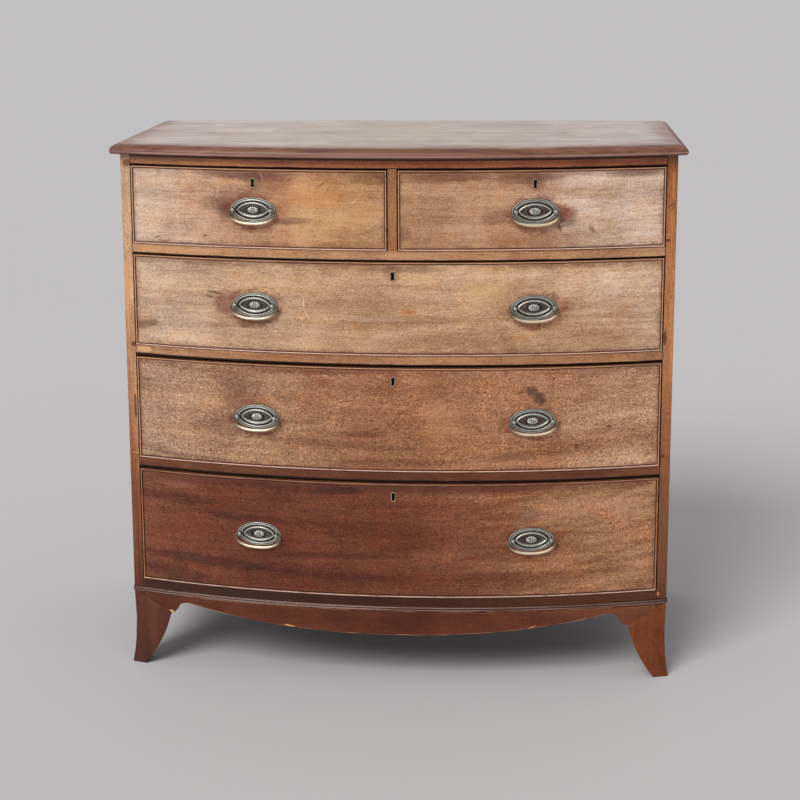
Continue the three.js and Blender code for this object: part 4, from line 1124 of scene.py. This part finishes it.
def bailMaster():
    curve = roundCurve("bail", 0.001, 4)
    curve.use_fill_caps = True
    curve.resolution_u = 6
    spline = curve.splines.new("BEZIER")
    points = bailLine + [(-across, down, thick) for across, down, thick in reversed(bailLine[:-1])]
    spline.bezier_points.add(len(points) - 1)
    for point, (across, down, thick) in zip(spline.bezier_points, points):
        point.co = (across * 0.001, -handleSizes["standOff"], down * 0.001)
        point.handle_left_type = "AUTO"
        point.handle_right_type = "AUTO"
        point.radius = thick
    drawn = shown("bail", curve)
    form = evaluated(drawn)
    bpy.data.objects.remove(drawn)
    raised = form.verts.layers.float.new("raised")
    for vert in form.verts:  # rubbed bright where fingers hook the bail
        vert[raised] = 0.2 + 0.75 * min(max((-vert.co.z - 0.011) / 0.011, 0), 1)
    return meshOf(form, "bailMaster")


def makeHandles(name, look, plate, bail):
    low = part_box(name + "_drawer_front")[0]
    kinds = [("_handle_plate", "_plate_stamped", plate, plateBrass), ("_bail", "_bail_cast", bail, bailBrass)]
    for x in handlesOf(look):
        handle = name if look["keyX"] else name + ("_left" if x < 0 else "_right")
        place = onBow(x, low.z + look["handleUp"])
        for node, title, master, finish in kinds:
            form = bmesh.new()
            form.from_mesh(master)
            bmesh.ops.transform(form, matrix=place, verts=form.verts)
            faceOut(form)
            piece(form, handle + title, finish, bodyOf(handle + node), [handle + node], 40)


# Small iron: nails that hold the back boards
nails = {"boards": 5, "across": (0.25, 0.75), "cone": (0.0026, 0.0018, 0.0012)}


def makeNails():
    low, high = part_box("back_boards")
    form = bmesh.new()
    for board in range(nails["boards"]):
        for share in nails["across"]:
            x = low.x + (high.x - low.x) * (board + share) / nails["boards"]
            for z in (low.z + 0.009, (low.z + high.z) / 2 + 0.1, high.z - 0.0095):
                place = moved(x, high.y + 0.0002, z) @ turned(-90, "X")
                coneIn(form, 10, *nails["cone"], place)
    piece(form, "back_nails", agedMetal("nail_iron", "iron").done(), "carcase")


drawerOak = plainWood("drawer_oak", "oak", "y", 51.0)
drawerPine = plainWood("drawer_pine", "pine", "x", 53.0)
lockBrass = lockMetalWithKeyholeShade()
threadBrass = agedMetal("thread_metal", "thread").done()
plateBrass = agedMetal("plate_metal", "plate", True).done()
bailBrass = agedMetal("bail_metal", "bail", True).done()
print("materials ready")
makeCarcase()
makeTopBoard()
makeBaseBead()
print("carcase made")
plateMesh = handleMaster()
bailMesh = bailMaster()
for drawerName, drawerLook in drawerLooks.items():
    makeDrawer(drawerName, drawerLook)
    makeHandles(drawerName, drawerLook, plateMesh, bailMesh)
    print(drawerName, "drawer made")
makeNails()


# Floor, lamps and the pale surroundings
studio = {
    "floor": (189, 187, 187), "floorMottle": (160, 156, 152), "sky": (188, 188, 191), "skyStrength": 1.072,
    "sun": 2.5, "sunTurn": -28, "sunTip": 50, "sunSpread": 30,
}


def makeStudio():
    form = bmesh.new()
    bmesh.ops.create_circle(form, cap_ends=True, cap_tris=True, radius=90, segments=64)
    mesh = meshOf(form, "studioFloor")
    floor = shown("studioFloor", mesh)
    paint = Finish("floor_paint")
    cloud = paint.noise((1.5, 1.5, 1.5), 3, 0.5)
    paint.colour = paint.mix(cloud * 0.06, tint(*studio["floor"]), tint(*studio["floorMottle"]))
    paint.roughness = 0.8 + cloud * 0.1
    mesh.materials.append(paint.done())
    world = bpy.data.worlds.new("studioWorld")
    scene.world = world
    world.use_nodes = True
    back = world.node_tree.nodes["Background"]
    back.inputs["Color"].default_value = (*tint(*studio["sky"]), 1)
    back.inputs["Strength"].default_value = studio["skyStrength"]
    lamp = bpy.data.lights.new("softKey", "SUN")
    lamp.energy = studio["sun"]
    lamp.angle = math.radians(studio["sunSpread"])
    shown("softKey", lamp).matrix_world = turned(studio["sunTurn"], "Z") @ turned(studio["sunTip"], "X")


makeStudio()
scene.view_settings.view_transform = "Standard"
print("studio set")
